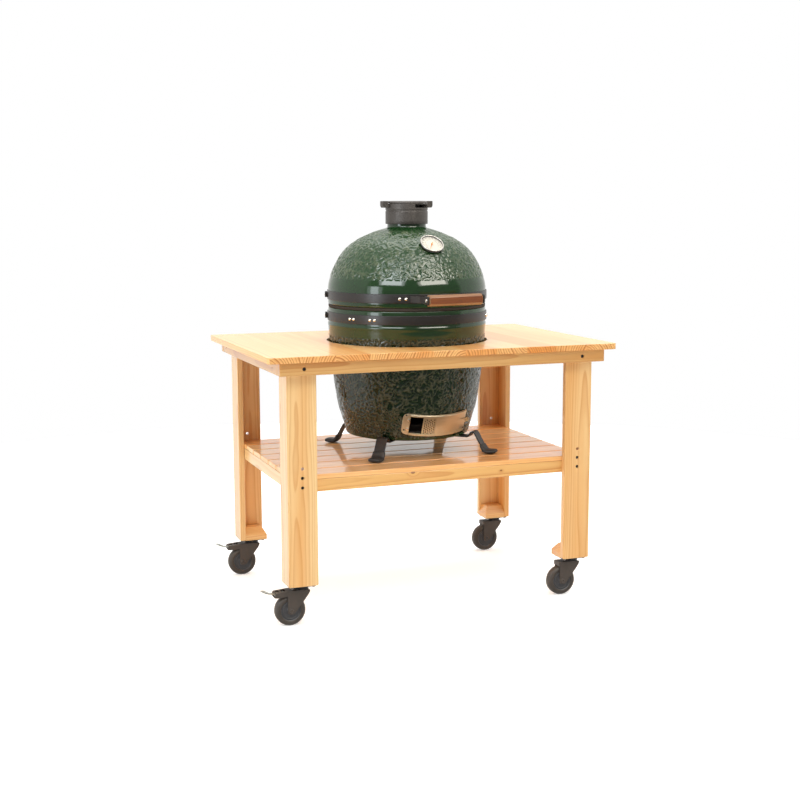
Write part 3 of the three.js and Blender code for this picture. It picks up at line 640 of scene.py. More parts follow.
# painted shade: a darker copy of the glaze for the bowl under the table, its crinkled tone near black
GLAZE_LOW = glaze("green_glaze_shaded", (0.0038, 0.0110, 0.0038, 1), (0.112, 0.104, 0.064, 1), 0.9)
CLAY = plain("fireclay", srgb(214, 196, 166), 0.88, var=0.1, scale=30, bump=0.6, bump_scale=240, dist=0.0006, tone=srgb(150, 132, 110))
# painted shade: a near black copy of the clay for the lower inside of the firebox and bowl, the dark inside seen
# through the draft opening
SOOTY = plain("clay_painted_shade", srgb(40, 33, 27), 0.95, var=0.2, scale=30, bump=0.6, bump_scale=240, dist=0.0006, tone=srgb(58, 50, 43))
IRON = plain("cast_iron", srgb(76, 71, 67), 0.42, var=0.13, scale=42, metal=0.35, bump=0.55, bump_scale=620, dist=0.0005, spread=0.06)
DARK_IRON = plain("seasoned_iron", srgb(60, 55, 51), 0.6, var=0.2, scale=50, metal=0.4, bump=0.6, bump_scale=380, dist=0.0005)
BLACK = plain("black_coat", srgb(34, 31, 30), 0.34, var=0.1, scale=70, bump=0.28, bump_scale=900, dist=0.0002, spread=0.05)
GLOSS_BLACK = plain("black_lacquer", srgb(26, 24, 23), 0.22, var=0.1, scale=70, bump=0.2, bump_scale=700, dist=0.0002, spread=0.04)
FORK = plain("fork_coat", srgb(74, 65, 58), 0.50, var=0.1, scale=70, bump=0.3, bump_scale=900, dist=0.0002, spread=0.05, tone=srgb(80, 71, 63))
SATIN = plain("stand_coat", srgb(25, 21, 17), 0.48, var=0.1, scale=70, bump=0.25, bump_scale=900, dist=0.0002, spread=0.05)
STEEL = brushed("stainless", (0.62, 0.585, 0.53, 1), 0.26)
BOLT = plain("bright_steel", (0.80, 0.76, 0.69), 0.18, var=0.06, scale=200, metal=1.0, bump=0.1, bump_scale=900)
ZINC = brushed("zinc", (0.37, 0.39, 0.345, 1), 0.32, stretch=(500.0, 40.0, 40.0))
# painted reflection: the draft door's brushed stainless given a golden colour for the warm wood it mirrors
BRASSY = brushed("draft_steel_painted_warmth", (0.82, 0.72, 0.53, 1), 0.40, stretch=(14.0, 14.0, 900.0))
BEZEL = brushed("bezel_steel", (0.66, 0.63, 0.57, 1), 0.36, stretch=(300.0, 300.0, 300.0))
# painted shade: a dark copy of the case's steel for its side wall, which lies in shadow
CASE = plain("case_side_painted_shade", (0.16, 0.16, 0.165, 1), 0.4, var=0.1, scale=80, metal=0.8, bump=0.2, bump_scale=700)
POLY = plain("wheel_polymer", srgb(66, 66, 68), 0.42, var=0.1, scale=80, bump=0.25, bump_scale=700, dist=0.0003, tone=srgb(70, 70, 72))
TREAD = plain("wheel_tread", srgb(64, 56, 50), 0.54, var=0.12, scale=60, bump=0.4, bump_scale=500, dist=0.0003, tone=srgb(74, 66, 58))
RUBBER = plain("boot_rubber", srgb(36, 33, 31), 0.6, var=0.15, scale=90, bump=0.4, bump_scale=520, dist=0.0004)
FELT = plain("felt", srgb(46, 38, 30), 0.95, var=0.3, scale=500, bump=0.9, bump_scale=1400, dist=0.0006)
DIAL = plain("dial_enamel", srgb(206, 201, 186), 0.5, var=0.03, scale=90)
INK = plain("dial_marks", srgb(120, 112, 100), 0.6)
ORANGE = plain("needle_enamel", srgb(236, 142, 62), 0.45, var=0.05)


def grip_wood(name, a, b, c_):
    n = Nodes(name)
    g = n.node("Attribute", attribute_name="grain", out=1)
    s = n.noise(n.vec("MULTIPLY", g, (9.0, 210.0, 210.0)), 1.0, 3.0, 0.6)
    d = n.noise(n.vec("MULTIPLY", g, (40.0, 1100.0, 1100.0)), 1.0, 2.0, 0.6)
    col = n.mix(n.span(s, 0.3, 0.7, 0.0, 1.0), a, b)
    col = n.mix(n.span(d, 0.5, 0.75, 0.0, 0.55), col, c_)
    n.set(Base_Color=col, Roughness=n.math("MULTIPLY_ADD", d, 0.12, 0.24), Coat_Weight=0.35, Coat_Roughness=0.14)
    n.bump(d, 0.0002, 0.35)
    return n.mat


GRIP = grip_wood("grip_wood", srgb(154, 110, 72), srgb(130, 86, 52), srgb(98, 58, 34))
GRIP_DARK = grip_wood("grip_wood_dark", srgb(132, 72, 30), srgb(110, 56, 24), srgb(80, 40, 17))


def lens(name):
    n = Nodes(name)
    n.t.nodes.remove(n.b)
    clear = n.t.nodes.new("ShaderNodeBsdfTransparent")
    gloss = n.t.nodes.new("ShaderNodeBsdfGlossy")
    gloss.inputs["Roughness"].default_value = 0.04
    mix = n.t.nodes.new("ShaderNodeMixShader")
    fres = n.t.nodes.new("ShaderNodeFresnel")
    fres.inputs[0].default_value = 1.16
    outside = n.math("SUBTRACT", 1.0, n.node("NewGeometry", out=6))
    n.t.links.new(n.math("MULTIPLY", fres.outputs[0], outside), mix.inputs[0])
    n.t.links.new(clear.outputs[0], mix.inputs[1])
    n.t.links.new(gloss.outputs[0], mix.inputs[2])
    n.t.links.new(mix.outputs[0], n.out.inputs[0])
    return n.mat


GLASS = lens("dial_glass")

# ============================================================ table
W, D, H, TOP_T, HOLE_R = 1200, 804, 872, 20, 278
ax, axr, ay = 561.0, 564.6, 390.5
lx, ly = 533.0, 362.5
az0, az1 = 811.7, 851.7

# the top: eleven planks glued edge to edge, cut by the round hole
top = Piece()
HX = 4.5     # the hole stands a little right of the table's middle; planks are drawn about it
edge_x = [-W / 2 - HX + W * i / 11 for i in range(11)] + [606 - HX]


def plank_outline(x0, x1):
    """One or two outlines of a plank between x0 and x1, less the hole."""
    def corner(px, py):
        out = []
        cx, cy = px - math.copysign(12, px), py - math.copysign(12, py)
        for k in range(7):
            a = rad(90 * k / 6)
            out.append((cx + math.copysign(12 * math.sin(a), px), cy + math.copysign(12 * math.cos(a), py)))
        return out  # from the front or back edge round to the side

    if x0 < -HOLE_R and x1 < -HOLE_R or x0 > HOLE_R:
        if x0 == edge_x[0]:
            lo_, hi_ = corner(x0, -D / 2), corner(x0, D / 2)
            return [[(x1, -D / 2)] + [(x1, D / 2)] + hi_ + lo_[::-1]]
        if x1 == edge_x[-1]:
            lo_, hi_ = corner(x1, -D / 2), corner(x1, D / 2)
            return [[(x0, D / 2), (x0, -D / 2)] + lo_ + hi_[::-1]]
        return [[(x0, -D / 2), (x1, -D / 2), (x1, D / 2), (x0, D / 2)]]
    if x0 >= -HOLE_R and x1 <= HOLE_R:
        out = []
        for s in (-1, 1):
            arc = [(x, s * math.sqrt(max(0, HOLE_R ** 2 - x * x))) for x in np.linspace(x0, x1, 13)]
            p = [(x0, s * D / 2), (x1, s * D / 2)] + arc[::-1]
            out.append(p if s < 0 else p[::-1])
        return out
    e = x1 if x0 < 0 else x0            # the seam that the hole crosses
    t = math.acos(abs(e) / HOLE_R)
    arc = [(math.copysign(HOLE_R * math.cos(a), e), HOLE_R * math.sin(a)) for a in np.linspace(-t, t, 9)]
    if x0 < 0:
        return [[(x0, -D / 2), (x1, -D / 2)] + arc + [(x1, D / 2), (x0, D / 2)]]
    return [[(x1, D / 2), (x0, D / 2)] + arc[::-1] + [(x0, -D / 2), (x1, -D / 2)]]


piths = [(-70, -42), (85, -30), (-60, -52), (92, -26), (-85, 34), (66, -48), (-92, -30), (74, 40), (-80, -38), (88, -34), (-68, -44)]
for i in range(11):
    x0, x1 = edge_x[i], edge_x[i + 1]
    sh, ti = seeded.uniform(-3000, 3000), seeded.random()
    for poly in plank_outline(x0, x1):
        m = len(poly)
        V = [(x + HX, y, z) for z in (H - TOP_T, H) for x, y in poly]
        F = [list(range(m))[::-1], [m + k for k in range(m)]] + [[k, (k + 1) % m, m + (k + 1) % m, m + k] for k in range(m)]
        wts = []
        for k in range(m):
            p, q = poly[k], poly[(k + 1) % m]
            seam = abs(p[0] - q[0]) < 1e-6 and min(abs(p[0] - e) for e in edge_x[1:-1]) < 1e-6
            for b in (0, m):
                wts.append((k + b, (k + 1) % m + b, 0.16 if seam else 0.8))
        lo, hi = (x0, -D / 2, H - TOP_T), (x1, D / 2, H)
        G = np.c_[np.array(V)[:, 1] + sh, np.array(V)[:, 0] - (x0 + x1) / 2 - piths[i][0], np.array(V)[:, 2] - (H - TOP_T / 2) - piths[i][1]]
        top.add(V, F, 0, G, ti, wts)
top.build("table_top_planks", TABLE, [PINE_TOP], "table", "table_top", "varnished_pine", weighted=2.2, seg=3)

R2 = 1.0     # rounding weight of plain outer edges, times 2.5 mm
for name, lo, hi, axis, holes, hole_axis in [
    ("apron_front", (-ax, -ay, az0), (axr, -ly - 0.3, az1), "x", [(-482, 832, 6.0), (482, 832, 6.0)], "y"),
    ("apron_back", (-ax, ly + 0.3, az0), (axr, ay, az1), "x", [(-482, 832, 6.0), (482, 832, 6.0)], "y"),
    ("apron_left", (-ax, -ly + 0.3, az0), (-lx - 0.3, ly - 0.3, az1), "y", [(-304, 831, 3.2), (318, 832, 3.2)], "x"),
    ("apron_right", (lx + 0.3, -ly + 0.3, az0), (axr, ly - 0.3, az1), "y", [(-304, 831, 3.2), (318, 832, 3.2)], "x"),
]:
    p = Piece()
    pith = {"apron_front": (9, -46), "apron_left": (-7, 52)}.get(name)
    board(p, lo, hi, axis, 1.0, holes=holes, hole_axis=hole_axis, pith=pith)
    p.build(name + "_board", TABLE, [PINE_APRON], "table", name, "varnished_pine", weighted=2.4, seg=3)

# legs: a wide board, a side board glued behind it, and a bevelled block
for name, sx, sy in [("front_left", -1, -1), ("front_right", 1, -1), ("back_left", -1, 1), ("back_right", 1, 1)]:
    p = Piece()
    z0, z1 = 132.5, 851.4
    xs = sorted((sx * 435, sx * 533))
    ys = sorted((sy * 342.5, sy * 362.5))
    mat = 0
    pith = {"front_left": (-18, 30), "front_right": (26, 34), "back_left": (12, -48), "back_right": (-30, 40)}[name]
    board(p, (xs[0], ys[0], z0), (xs[1], ys[1], z1), "z", 0.4, soft=[((0, 1 if sx < 0 else 0), (2, 0))], pith=pith, shift=0.0 if name == "front_left" else None,
          holes=[(sx * 484, 514, 5.2), (sx * 484, 484, 5.4), (sx * 484, 453, 5.4)], hole_axis="y",
          tight=[((0, 0 if sx < 0 else 1), (1, 1 if sy < 0 else 0))], mat=mat)
    xs2 = sorted((sx * 513, sx * 533))
    ys2 = sorted((sy * 276.5, sy * 342.5))
    board(p, (xs2[0], ys2[0], z0), (xs2[1], ys2[1], z1), "z", 0.4, soft=[((1, 1 if sy < 0 else 0), (2, 0))],
          tight=[((0, 0 if sx < 0 else 1), (1, 0 if sy < 0 else 1)), ((0, 1 if sx < 0 else 0), (1, 0 if sy < 0 else 1))])
    # block: its free end and free side are bevelled above 18 mm
    bx0, bx1, by0, by1 = 435.2, 512.9, 276.7, 342.4
    rows = [((bx0, bx1, by0, by1), 132.6), ((bx0, bx1, by0, by1), 150.5), ((bx0 + 14, bx1, by0 + 26, by1), 176.5)]
    V = [(sx * x, sy * y, z) for (a, b, c, d), z in rows for x, y in ((a, c), (b, c), (b, d), (a, d))]
    F = [(3, 2, 1, 0), (8, 9, 10, 11)] + [(4 * k + i, 4 * k + (i + 1) % 4, 4 * k + 4 + (i + 1) % 4, 4 * k + 4 + i) for k in (0, 1) for i in range(4)]
    lo, hi = np.array(V).min(0), np.array(V).max(0)
    wts = [(a, b, 0.14) for f in F for a, b in zip(f, f[1:] + f[:1])]
    p.add(V, F, 0, grain(V, lo, hi, "x", (12, 40), seeded.uniform(-900, 900)), 0.75, wts)
    p.build("leg_%s_boards" % name, TABLE, [PINE_FL if name == "front_left" else PINE], "table", "leg_" + name, "varnished_pine", weighted=6.0, seg=4)

shx, shy = 512.7, 342.2
for name, lo, hi, axis in [
    ("shelf_rail_front", (-shx, -shy, 433.2), (shx, -shy + 20, 473.2), "x"),
    ("shelf_rail_back", (-shx, shy - 20, 433.2), (shx, shy, 473.2), "x"),
    ("shelf_rail_left", (-shx, -shy + 20.3, 433.2), (-shx + 20, shy - 20.3, 473.2), "y"),
    ("shelf_rail_right", (shx - 20, -shy + 20.3, 433.2), (shx, shy - 20.3, 473.2), "y"),
]:
    p = Piece()
    board(p, lo, hi, axis, 0.7, pith={"shelf_rail_front": (6, -40)}.get(name), shift=0.0 if name == "shelf_rail_front" else None)
    p.build(name + "_board", TABLE, [PINE_RAIL if name == "shelf_rail_front" else PINE], "table", name, "varnished_pine", weighted=2.4, seg=2)
sw = (2 * shy - 48) / 7
for i in range(7):
    p = Piece()
    y0 = -shy + i * (sw + 8)
    board(p, (-shx, y0, 473.5), (shx, y0 + sw, 489.0), "x", 0.75, pith=(seeded.uniform(-20, 20), seeded.choice((-1, 1)) * seeded.uniform(26, 44)))
    p.build("shelf_slat_%d_board" % (i + 1), TABLE, [PINE_SLAT], "table", "shelf_slat_%d" % (i + 1), "varnished_pine", weighted=2.2, seg=2)


def bolt_head(r, depth):
    """Button head with a hex socket, its top at z = 0, drawn about +Z."""
    prof = fillet([(0, -0.9), (r * 0.45, -0.9), (r * 0.5, 0), (r * 0.86, -0.1), (r, -1.2), (r, -depth), (0, -depth)], [0, 0, 0.2, 0.5, 0.4, 0, 0], 3)
    return lathe(prof, 18)


bolts = Piece()
for x in (-482, 482):
    for s in (-1, 1):
        V, F = bolt_head(5.6, 14)
        bolts.add(np.array(along(V, "-y" if s < 0 else "y")) * [1, 1, 1] + [x, s * (ay - 2.4), 832], F)
for x in (-484, 484):
    for s in (-1, 1):
        for z in (484, 453):
            V, F = bolt_head(5.0, 14)
            bolts.add(np.array(along(V, "-y" if s < 0 else "y")) + [x, s * (ly - 2.2), z], F)
for s in (-1, 1):
    for y, z in ((-304, 831), (318, 832)):
        V, F = bolt_head(3.0, 12)
        bolts.add(np.array(along(V, "-x" if s < 0 else "x")) + [(axr - 1.6) if s > 0 else (1.6 - ax), y, z], F)
bolts.build("table_bolts", TABLE, [BLACK], "table", slot="black_steel", angle=30)

# ============================================================ ceramic shells
SEG_LOW, SEG_TOP = 640, 684


def smooth_rows(points, step, z_keep=()):
    """Evenly spaced points on a rounded profile; z_keep, meant for rows at wanted heights, is not used."""
    P = np.array(points, float)
    out = [tuple(P[0])]
    for a, b in zip(P[:-1], P[1:]):
        k = max(1, int(round(np.linalg.norm(b - a) / step)))
        for t in range(1, k + 1):
            out.append(tuple(a + (b - a) * t / k))
    return out


def spline(points, n=14):
    """Catmull-Rom through the points, chord by chord."""
    P = [np.array(p, float) for p in points]
    P = [2 * P[0] - P[1]] + P + [2 * P[-1] - P[-2]]
    out = []
    for i in range(1, len(P) - 2):
        p0, p1, p2, p3 = P[i - 1:i + 3]
        for k in range(n):
            t = k / n
            out.append(tuple(0.5 * ((2 * p1) + (-p0 + p2) * t + (2 * p0 - 5 * p1 + 4 * p2 - p3) * t * t + (-p0 + 3 * p1 - 3 * p2 + p3) * t ** 3)))
    out.append(tuple(P[-2]))
    return out


def crinkle(p, size):
    """Height of the crinkled clay at p: near 1 on the worm-like crests, near 0 in the hollows."""
    q = Vector((p[0] / size, p[1] / size, p[2] / size * 1.1))
    q = q + noise.noise_vector(q * 0.8) * 0.45
    v = noise.noise(q) + 0.16 * noise.noise(q * 2.3 + Vector((7.1, 3.3, 5.9)))
    ridge = math.exp(-(v / 0.23) ** 2)
    return ridge * (0.80 + 0.35 * noise.noise(q * 0.7 + Vector((31.0, 0, 0)))) + 0.16 * abs(v)


def shell(outer, inner, n, amp, span, window=None, size=9.0, bare=None):
    """A turned wall: outer rows from bottom to top, inner rows from top to
    bottom. Rows with heights in span are crinkled. window is (angle from,
    angle to, z from, z to) through the wall."""
    rows = list(outer) + list(inner)
    k, no = len(rows), len(outer)
    ang = np.linspace(0, 360, n, endpoint=False)
    R = np.array([r for r, _ in rows])
    Z = np.array([z for _, z in rows])
    d = np.gradient(np.array(outer), axis=0)
    nr, nz = d[:, 1], -d[:, 0]
    ln = np.hypot(nr, nz)
    nr, nz = nr / ln, nz / ln
    V, idx, high, crk = [], np.full((n, k), -1, int), [], []
    for j in range(k):
        r, z = R[j], Z[j]
        if r < 1e-6:
            V.append((0, 0, z))
            high.append(0.0)
            crk.append(0.0)
            idx[:, j] = len(V) - 1
            continue
        m = 0.0
        if j < no:
            m = min(1.0, max(0.0, (z - span[0]) / 6)) * min(1.0, max(0.0, (span[1] - z) / 6))
        for i in range(n):
            a = rad(ang[i])
            x, y = r * math.sin(a), -r * math.cos(a)
            h = 0.0
            if m > 0:
                hh = crinkle((x, y, z), size)
                w_ = m * (bare(ang[i], z) if bare else 1.0)
                h = hh * w_
                out = amp * (h - 0.45 * w_)
                x, y, zz = x + math.sin(a) * nr[j] * out, y - math.cos(a) * nr[j] * out, z + nz[j] * out
            else:
                zz = z
            V.append((x, y, zz))
            high.append(h)
            crk.append(m)
            idx[i, j] = len(V) - 1
    F, U = [], []
    skip = set()
    if window:
        a0, a1, z0, z1 = window
        # all window rows lie exactly on z0..z1 on both surfaces
        ia = [i for i in range(n) if a0 - 1e-6 <= ((ang[i] + 180) % 360) - 180 < a1 - 1e-6]
        jo = [j for j in range(no - 1) if z0 - 1e-6 <= Z[j] and Z[j + 1] <= z1 + 1e-6]
        ji = [j for j in range(no, k - 1) if Z[j] <= z1 + 1e-6 and Z[j + 1] >= z0 - 1e-6]
        skip = {(i, j) for i in ia for j in jo + ji}
        ia = sorted(ia, key=lambda i: ((ang[i] + 180) % 360))
        top_o, bot_o, top_i, bot_i = jo[-1] + 1, jo[0], ji[0], ji[-1] + 1
        for i in ia:
            i2 = (i + 1) % n
            F += [[idx[i, bot_o], idx[i2, bot_o], idx[i2, bot_i], idx[i, bot_i]], [idx[i2, top_o], idx[i, top_o], idx[i, top_i], idx[i2, top_i]]]
            U += [[(0, 0), (0.001, 0), (0.001, 0.001), (0, 0.001)]] * 2
        L, Rr = ia[0], (ia[-1] + 1) % n
        for t in range(len(jo)):
            o0, o1 = jo[t], jo[t] + 1
            i0, i1 = bot_i - t, bot_i - t - 1
            F += [[idx[L, o1], idx[L, o0], idx[L, i0], idx[L, i1]], [idx[Rr, o0], idx[Rr, o1], idx[Rr, i1], idx[Rr, i0]]]
            U += [[(0, 0), (0.001, 0), (0.001, 0.001), (0, 0.001)]] * 2
    arc = np.r_[0, np.cumsum(np.hypot(np.diff(R), np.diff(Z)))]
    arc = arc / arc[-1]
    for j in range(k - 1):
        for i in range(n):
            if (i, j) in skip:
                continue
            i2 = (i + 1) % n
            q = [idx[i, j], idx[i2, j], idx[i2, j + 1], idx[i, j + 1]]
            u = [(i / n, arc[j]), ((i + 1) / n, arc[j]), ((i + 1) / n, arc[j + 1]), (i / n, arc[j + 1])]
            keep = [t for t in range(4) if q[t] not in q[:t]]
            if len(keep) >= 3:
                F.append([q[t] for t in keep])
                U.append([u[t] for t in keep])
    closed = R[0] < 1e-6 and R[-1] < 1e-6
    if not closed:
        for i in range(n):
            i2 = (i + 1) % n
            F.append([idx[i, k - 1], idx[i2, k - 1], idx[i2, 0], idx[i, 0]])
            U.append([(i / n, 0.9999), ((i + 1) / n, 0.9999), ((i + 1) / n, 1.0), (i / n, 1.0)])
    return V, F, U, high, crk


def under_frame(a, z):
    """0 on the patch of the base that is ground smooth for the draft frame."""
    a = (a + 180) % 360 - 180
    z = z - (601.5 + 240 * (1 - math.cos(rad(a) * 0.94)) * 0.309)
    d = max(abs(a + 3.4) - 30.8, (abs(z) - 36.5) / 3.8)
    return min(1.0, max(0.0, d / 1.4 + 0.5))


def ceramic(name, data, mats, mat_of, body, node):
    V, F, U, high, crk = data
    me = bpy.data.meshes.new(name)
    P = apply(V, GRILL)
    me.from_pydata(P.tolist(), [], [list(map(int, f)) for f in F])
    me.update()
    layer = me.uv_layers.new(name="OFBake")
    flat = np.array([c for u in U for c in u], np.float32)
    layer.data.foreach_set("uv", (flat * 0.998 + 0.001).ravel())
    for nm, vals in (("high", high), ("crinkle", crk)):
        a = me.attributes.new(nm, "FLOAT", "POINT")
        a.data.foreach_set("value", np.array(vals, np.float32))
    me.polygons.foreach_set("material_index", np.array([mat_of(f, V) for f in F], np.int32))
    bm = bmesh.new()
    bm.from_mesh(me)
    bmesh.ops.recalc_face_normals(bm, faces=bm.faces)
    bm.to_mesh(me)
    bm.free()
    me.polygons.foreach_set("use_smooth", np.ones(len(me.polygons), bool))
    me.set_sharp_from_angle(angle=rad(50))
    for m in mats:
        me.materials.append(m)
    o = bpy.data.objects.new(name, me)
    bpy.context.scene.collection.objects.link(o)
    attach(o, body)
    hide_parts(node)
    return o


AMP = 2.4
step = 2.8
# base: foot, crinkled belly, smooth waist with a small step under the band, rounded rim
body_line = spline([(212.5, 552.5), (229.0, 612), (241.3, 655), (253.8, 735), (264.5, 826), (270.0, 893), (271.6, 915)], 10)
W0, W1 = 578.0, 634.5


def rows_between(line, step, marks=()):
    """Resamples a rising profile evenly, with rows exactly at the marked heights."""
    L = np.array(line)
    zs = [L[0][1]] + sorted(marks) + [L[-1][1]]
    out = []
    for a, b in zip(zs[:-1], zs[1:]):
        k = max(1, int(round((b - a) / step)))
        for t in range(k):
            out.append(a + (b - a) * t / k)
    out.append(zs[-1])
    return [(float(np.interp(z, L[:, 1], L[:, 0])), float(z)) for z in out]


outer = [(0, 548), (60, 548), (130, 548), (188, 548)] + [(202 + 4 * math.sin(rad(a)), 552 - 4 * math.cos(rad(a))) for a in (0, 30, 60)] + [(209.5, 550.2)]
outer += rows_between(body_line, step, (W0, W1))
outer += [(271.9, 921), (272.9, 926), (273.3, 930), (273.2, 932.5), (272.4, 934.6), (271.6, 936), (271.4, 938), (271.4, 950), (271.5, 981),
          (271.3, 983.6), (270.7, 985.4), (269.4, 986.6), (267.6, 987)]
win_i = [(float(np.interp(z, [574, 582, 664], [180, 190, 214])), float(z)) for z in [z for _, z in outer if W0 - 1e-6 <= z <= W1 + 1e-6][::-1]]
inner = [(252, 987), (249, 986), (247.8, 983), (247, 917), (241, 830), (229, 740), (214, 664)] + win_i + [(180, 574), (90, 574), (0, 574)]
data = shell(outer, inner, SEG_LOW, AMP, (556, 897), window=(-28, -2.5, W0, W1), size=12.0, bare=under_frame)
z_of = lambda f, V: sum(V[i][2] for i in f) / len(f)
r_of = lambda f, V: sum(math.hypot(V[i][0], V[i][1]) for i in f) / len(f)
line_r = lambda z: float(np.interp(z, [z_ for _, z_ in outer[8:]], [r_ for r_, _ in outer[8:]]))
# its inside below 668 mm takes the clay's painted shade copy
# the bowl takes the glaze's painted shade copy
ceramic("base_bowl_glazed", data, [GLAZE_LOW, CLAY, SOOTY], lambda f, V: (2 if z_of(f, V) < 668 else 1) if r_of(f, V) < line_r(z_of(f, V)) - 5 and z_of(f, V) > 549 else 0, "table", "base_bowl")

# lid: rounded lip, smooth shoulder, crinkled dome, neck
dome_line = spline([(271.8, 1046), (271.5, 1058), (267.3, 1079), (254.8, 1114), (235.0, 1153), (207.5, 1187), (166.4, 1217), (114, 1240.5)], 10)
step = 2.42
dl = np.array(dome_line)
cum = np.r_[0, np.cumsum(np.hypot(*np.diff(dl, axis=0).T))]
rows_d = [(float(np.interp(s, cum, dl[:, 0])), float(np.interp(s, cum, dl[:, 1]))) for s in np.linspace(0, cum[-1], int(cum[-1] / step))]
outer = [(267.8, 998), (269.8, 998.4), (271.1, 999.6), (271.7, 1001.4), (271.8, 1020), (271.8, 1034)] + rows_d
outer += fillet([(114, 1240.5), (85, 1250.5), (66.2, 1256.5), (66.2, 1293)], [0, 60, 7, 0], 6, closed=False)[1:]
inner = [(50, 1293), (49, 1292), (49, 1236), (88, 1217), (140, 1195), (184, 1164), (218, 1126), (237.5, 1088), (247.8, 1048), (247.8, 1000), (250, 998)]
data = shell(outer, inner, SEG_TOP, 2.2, (1086, 1253), size=13.0)
dome_r = lambda z: float(np.interp(z, [z_ for _, z_ in outer], [r_ for r_, _ in outer]))
ceramic("dome_lid_glazed", data, [GLAZE, CLAY], lambda f, V: 1 if r_of(f, V) < dome_r(z_of(f, V)) - 9 else 0, "lid", "dome_lid")

p = Piece()
p.add(*lathe(fillet([(250, 987.4), (270.6, 987.4), (270.6, 997.6), (250, 997.6)], 2.4, 4), 128))
p.build("gasket_felt", GRILL, [FELT], "table", "gasket", "gasket_felt", angle=60)

# ============================================================ fire chamber
p = Piece()
fire = [(0, 600), (150, 600), (178, 622), (198, 720), (206, 848), (224, 848), (214, 720), (190, 612), (168, 574.3), (0, 574.3)]
holes = [45, 135, 225, 315]
# the firebox is turned in four heights so that its air holes and ash door are open
F_IN = np.array([(600, 150), (622, 178), (720, 198), (848, 206)])
F_OUT = np.array([(574.3, 168), (612, 190), (720, 214), (848, 224)])
fin = lambda z: float(np.interp(z, F_IN[:, 0], F_IN[:, 1]))
fout = lambda z: float(np.interp(z, F_OUT[:, 0], F_OUT[:, 1]))


def grid_wall(angles, zs, rin, rout, gone, flat_low=None):
    """A turned wall on a grid of angles and heights, less the cells in gone."""
    n, k = len(angles), len(zs)
    V, io, ii = [], {}, {}
    for i, a in enumerate(angles):
        for j, z in enumerate(zs):
            s, c = math.sin(rad(a)), -math.cos(rad(a))
            ro, ri = rout(z, j) if rout.__code__.co_argcount == 2 else rout(z), rin(z, j) if rin.__code__.co_argcount == 2 else rin(z)
            io[i, j] = len(V)
            V.append((ro * s, ro * c, z))
            ii[i, j] = len(V)
            V.append((ri * s, ri * c, z))
    F = []
    for i in range(n):
        i2 = (i + 1) % n
        for j in range(k - 1):
            if gone(angles[i], angles[i2], zs[j], zs[j + 1]):
                continue
            F.append([io[i, j], io[i2, j], io[i2, j + 1], io[i, j + 1]])
            F.append([ii[i, j + 1], ii[i2, j + 1], ii[i2, j], ii[i, j]])
            if j == 0 or gone(angles[i], angles[i2], zs[j - 1], zs[j]):
                F.append([ii[i, j], ii[i2, j], io[i2, j], io[i, j]])
            if j == k - 2 or gone(angles[i], angles[i2], zs[j + 1], zs[j + 2]):
                F.append([io[i, j + 1], io[i2, j + 1], ii[i2, j + 1], ii[i, j + 1]])
            before, after = (i - 1) % n, i2
            if gone(angles[before], angles[i], zs[j], zs[j + 1]):
                F.append([io[i, j], io[i, j + 1], ii[i, j + 1], ii[i, j]])
            if gone(angles[after], angles[(after + 1) % n], zs[j], zs[j + 1]):
                F.append([io[i2, j + 1], io[i2, j], ii[i2, j], ii[i2, j + 1]])
    return V, F


def mid(a, b):
    m = (a + ((b - a) % 360) / 2) % 360
    return m - 360 if m > 180 else m


ang = sorted({round(a, 3) for a in list(np.arange(0, 360, 4.0)) + [330.0, 359.5] + [h + s for h in holes for s in (-4, 4)]})
Vw, Fw = grid_wall(ang, [600, 610, 632, 660, 700, 718, 760, 800, 848], fin, fout,
                   lambda a, b, z0, z1: (-30 < mid(a, b) < -0.5 and z1 <= 632.1) or (z0 >= 699 and z1 <= 719 and any(abs((mid(a, b) - h + 180) % 360 - 180) < 4 for h in holes)))
# faces below 661 mm take the clay's painted shade copy, the dark inside seen through the draft opening
p.add(Vw, Fw, [1 if max(Vw[i][2] for i in f) < 661 else 0 for f in Fw])
Vw, Fw = lathe(fillet([(0, 574.4), (168, 574.4), (183, 600), (150, 599.7), (0, 599.7)], [0, 3, 2, 2, 0], 3), 90)
p.add(Vw, Fw, 1)
p.build("firebox_clay", GRILL, [CLAY, SOOTY], "table", "firebox", "fireclay", bevel=1.6, seg=2, angle=40)

p = Piece()
p.add(*lathe(fillet([(208, 848.4), (226, 848.4), (239, 925), (239, 950), (219, 950)], [2, 2, 8, 3, 3], 4), 128))
p.build("fire_ring_clay", GRILL, [CLAY], "table", "fire_ring", "fireclay", angle=50)

p = Piece()
disc = [(150 * math.cos(rad(a)), 150 * math.sin(rad(a))) for a in range(0, 360, 5)]
slots = []
for x in (-100, -60, -20, 20, 60, 100):
    l = math.sqrt(138 * 138 - x * x)
    slots.append(fillet([(x - 6, -l), (x + 6, -l), (x + 6, l), (x - 6, l)], 5.5, 5))
p.add(*flat_plate(disc, slots, "z", 640.2, 651.8, 60))
p.build("charcoal_grate_iron", GRILL, [DARK_IRON], "table", "charcoal_grate", "cast_iron", bevel=1.2, seg=2, angle=50)

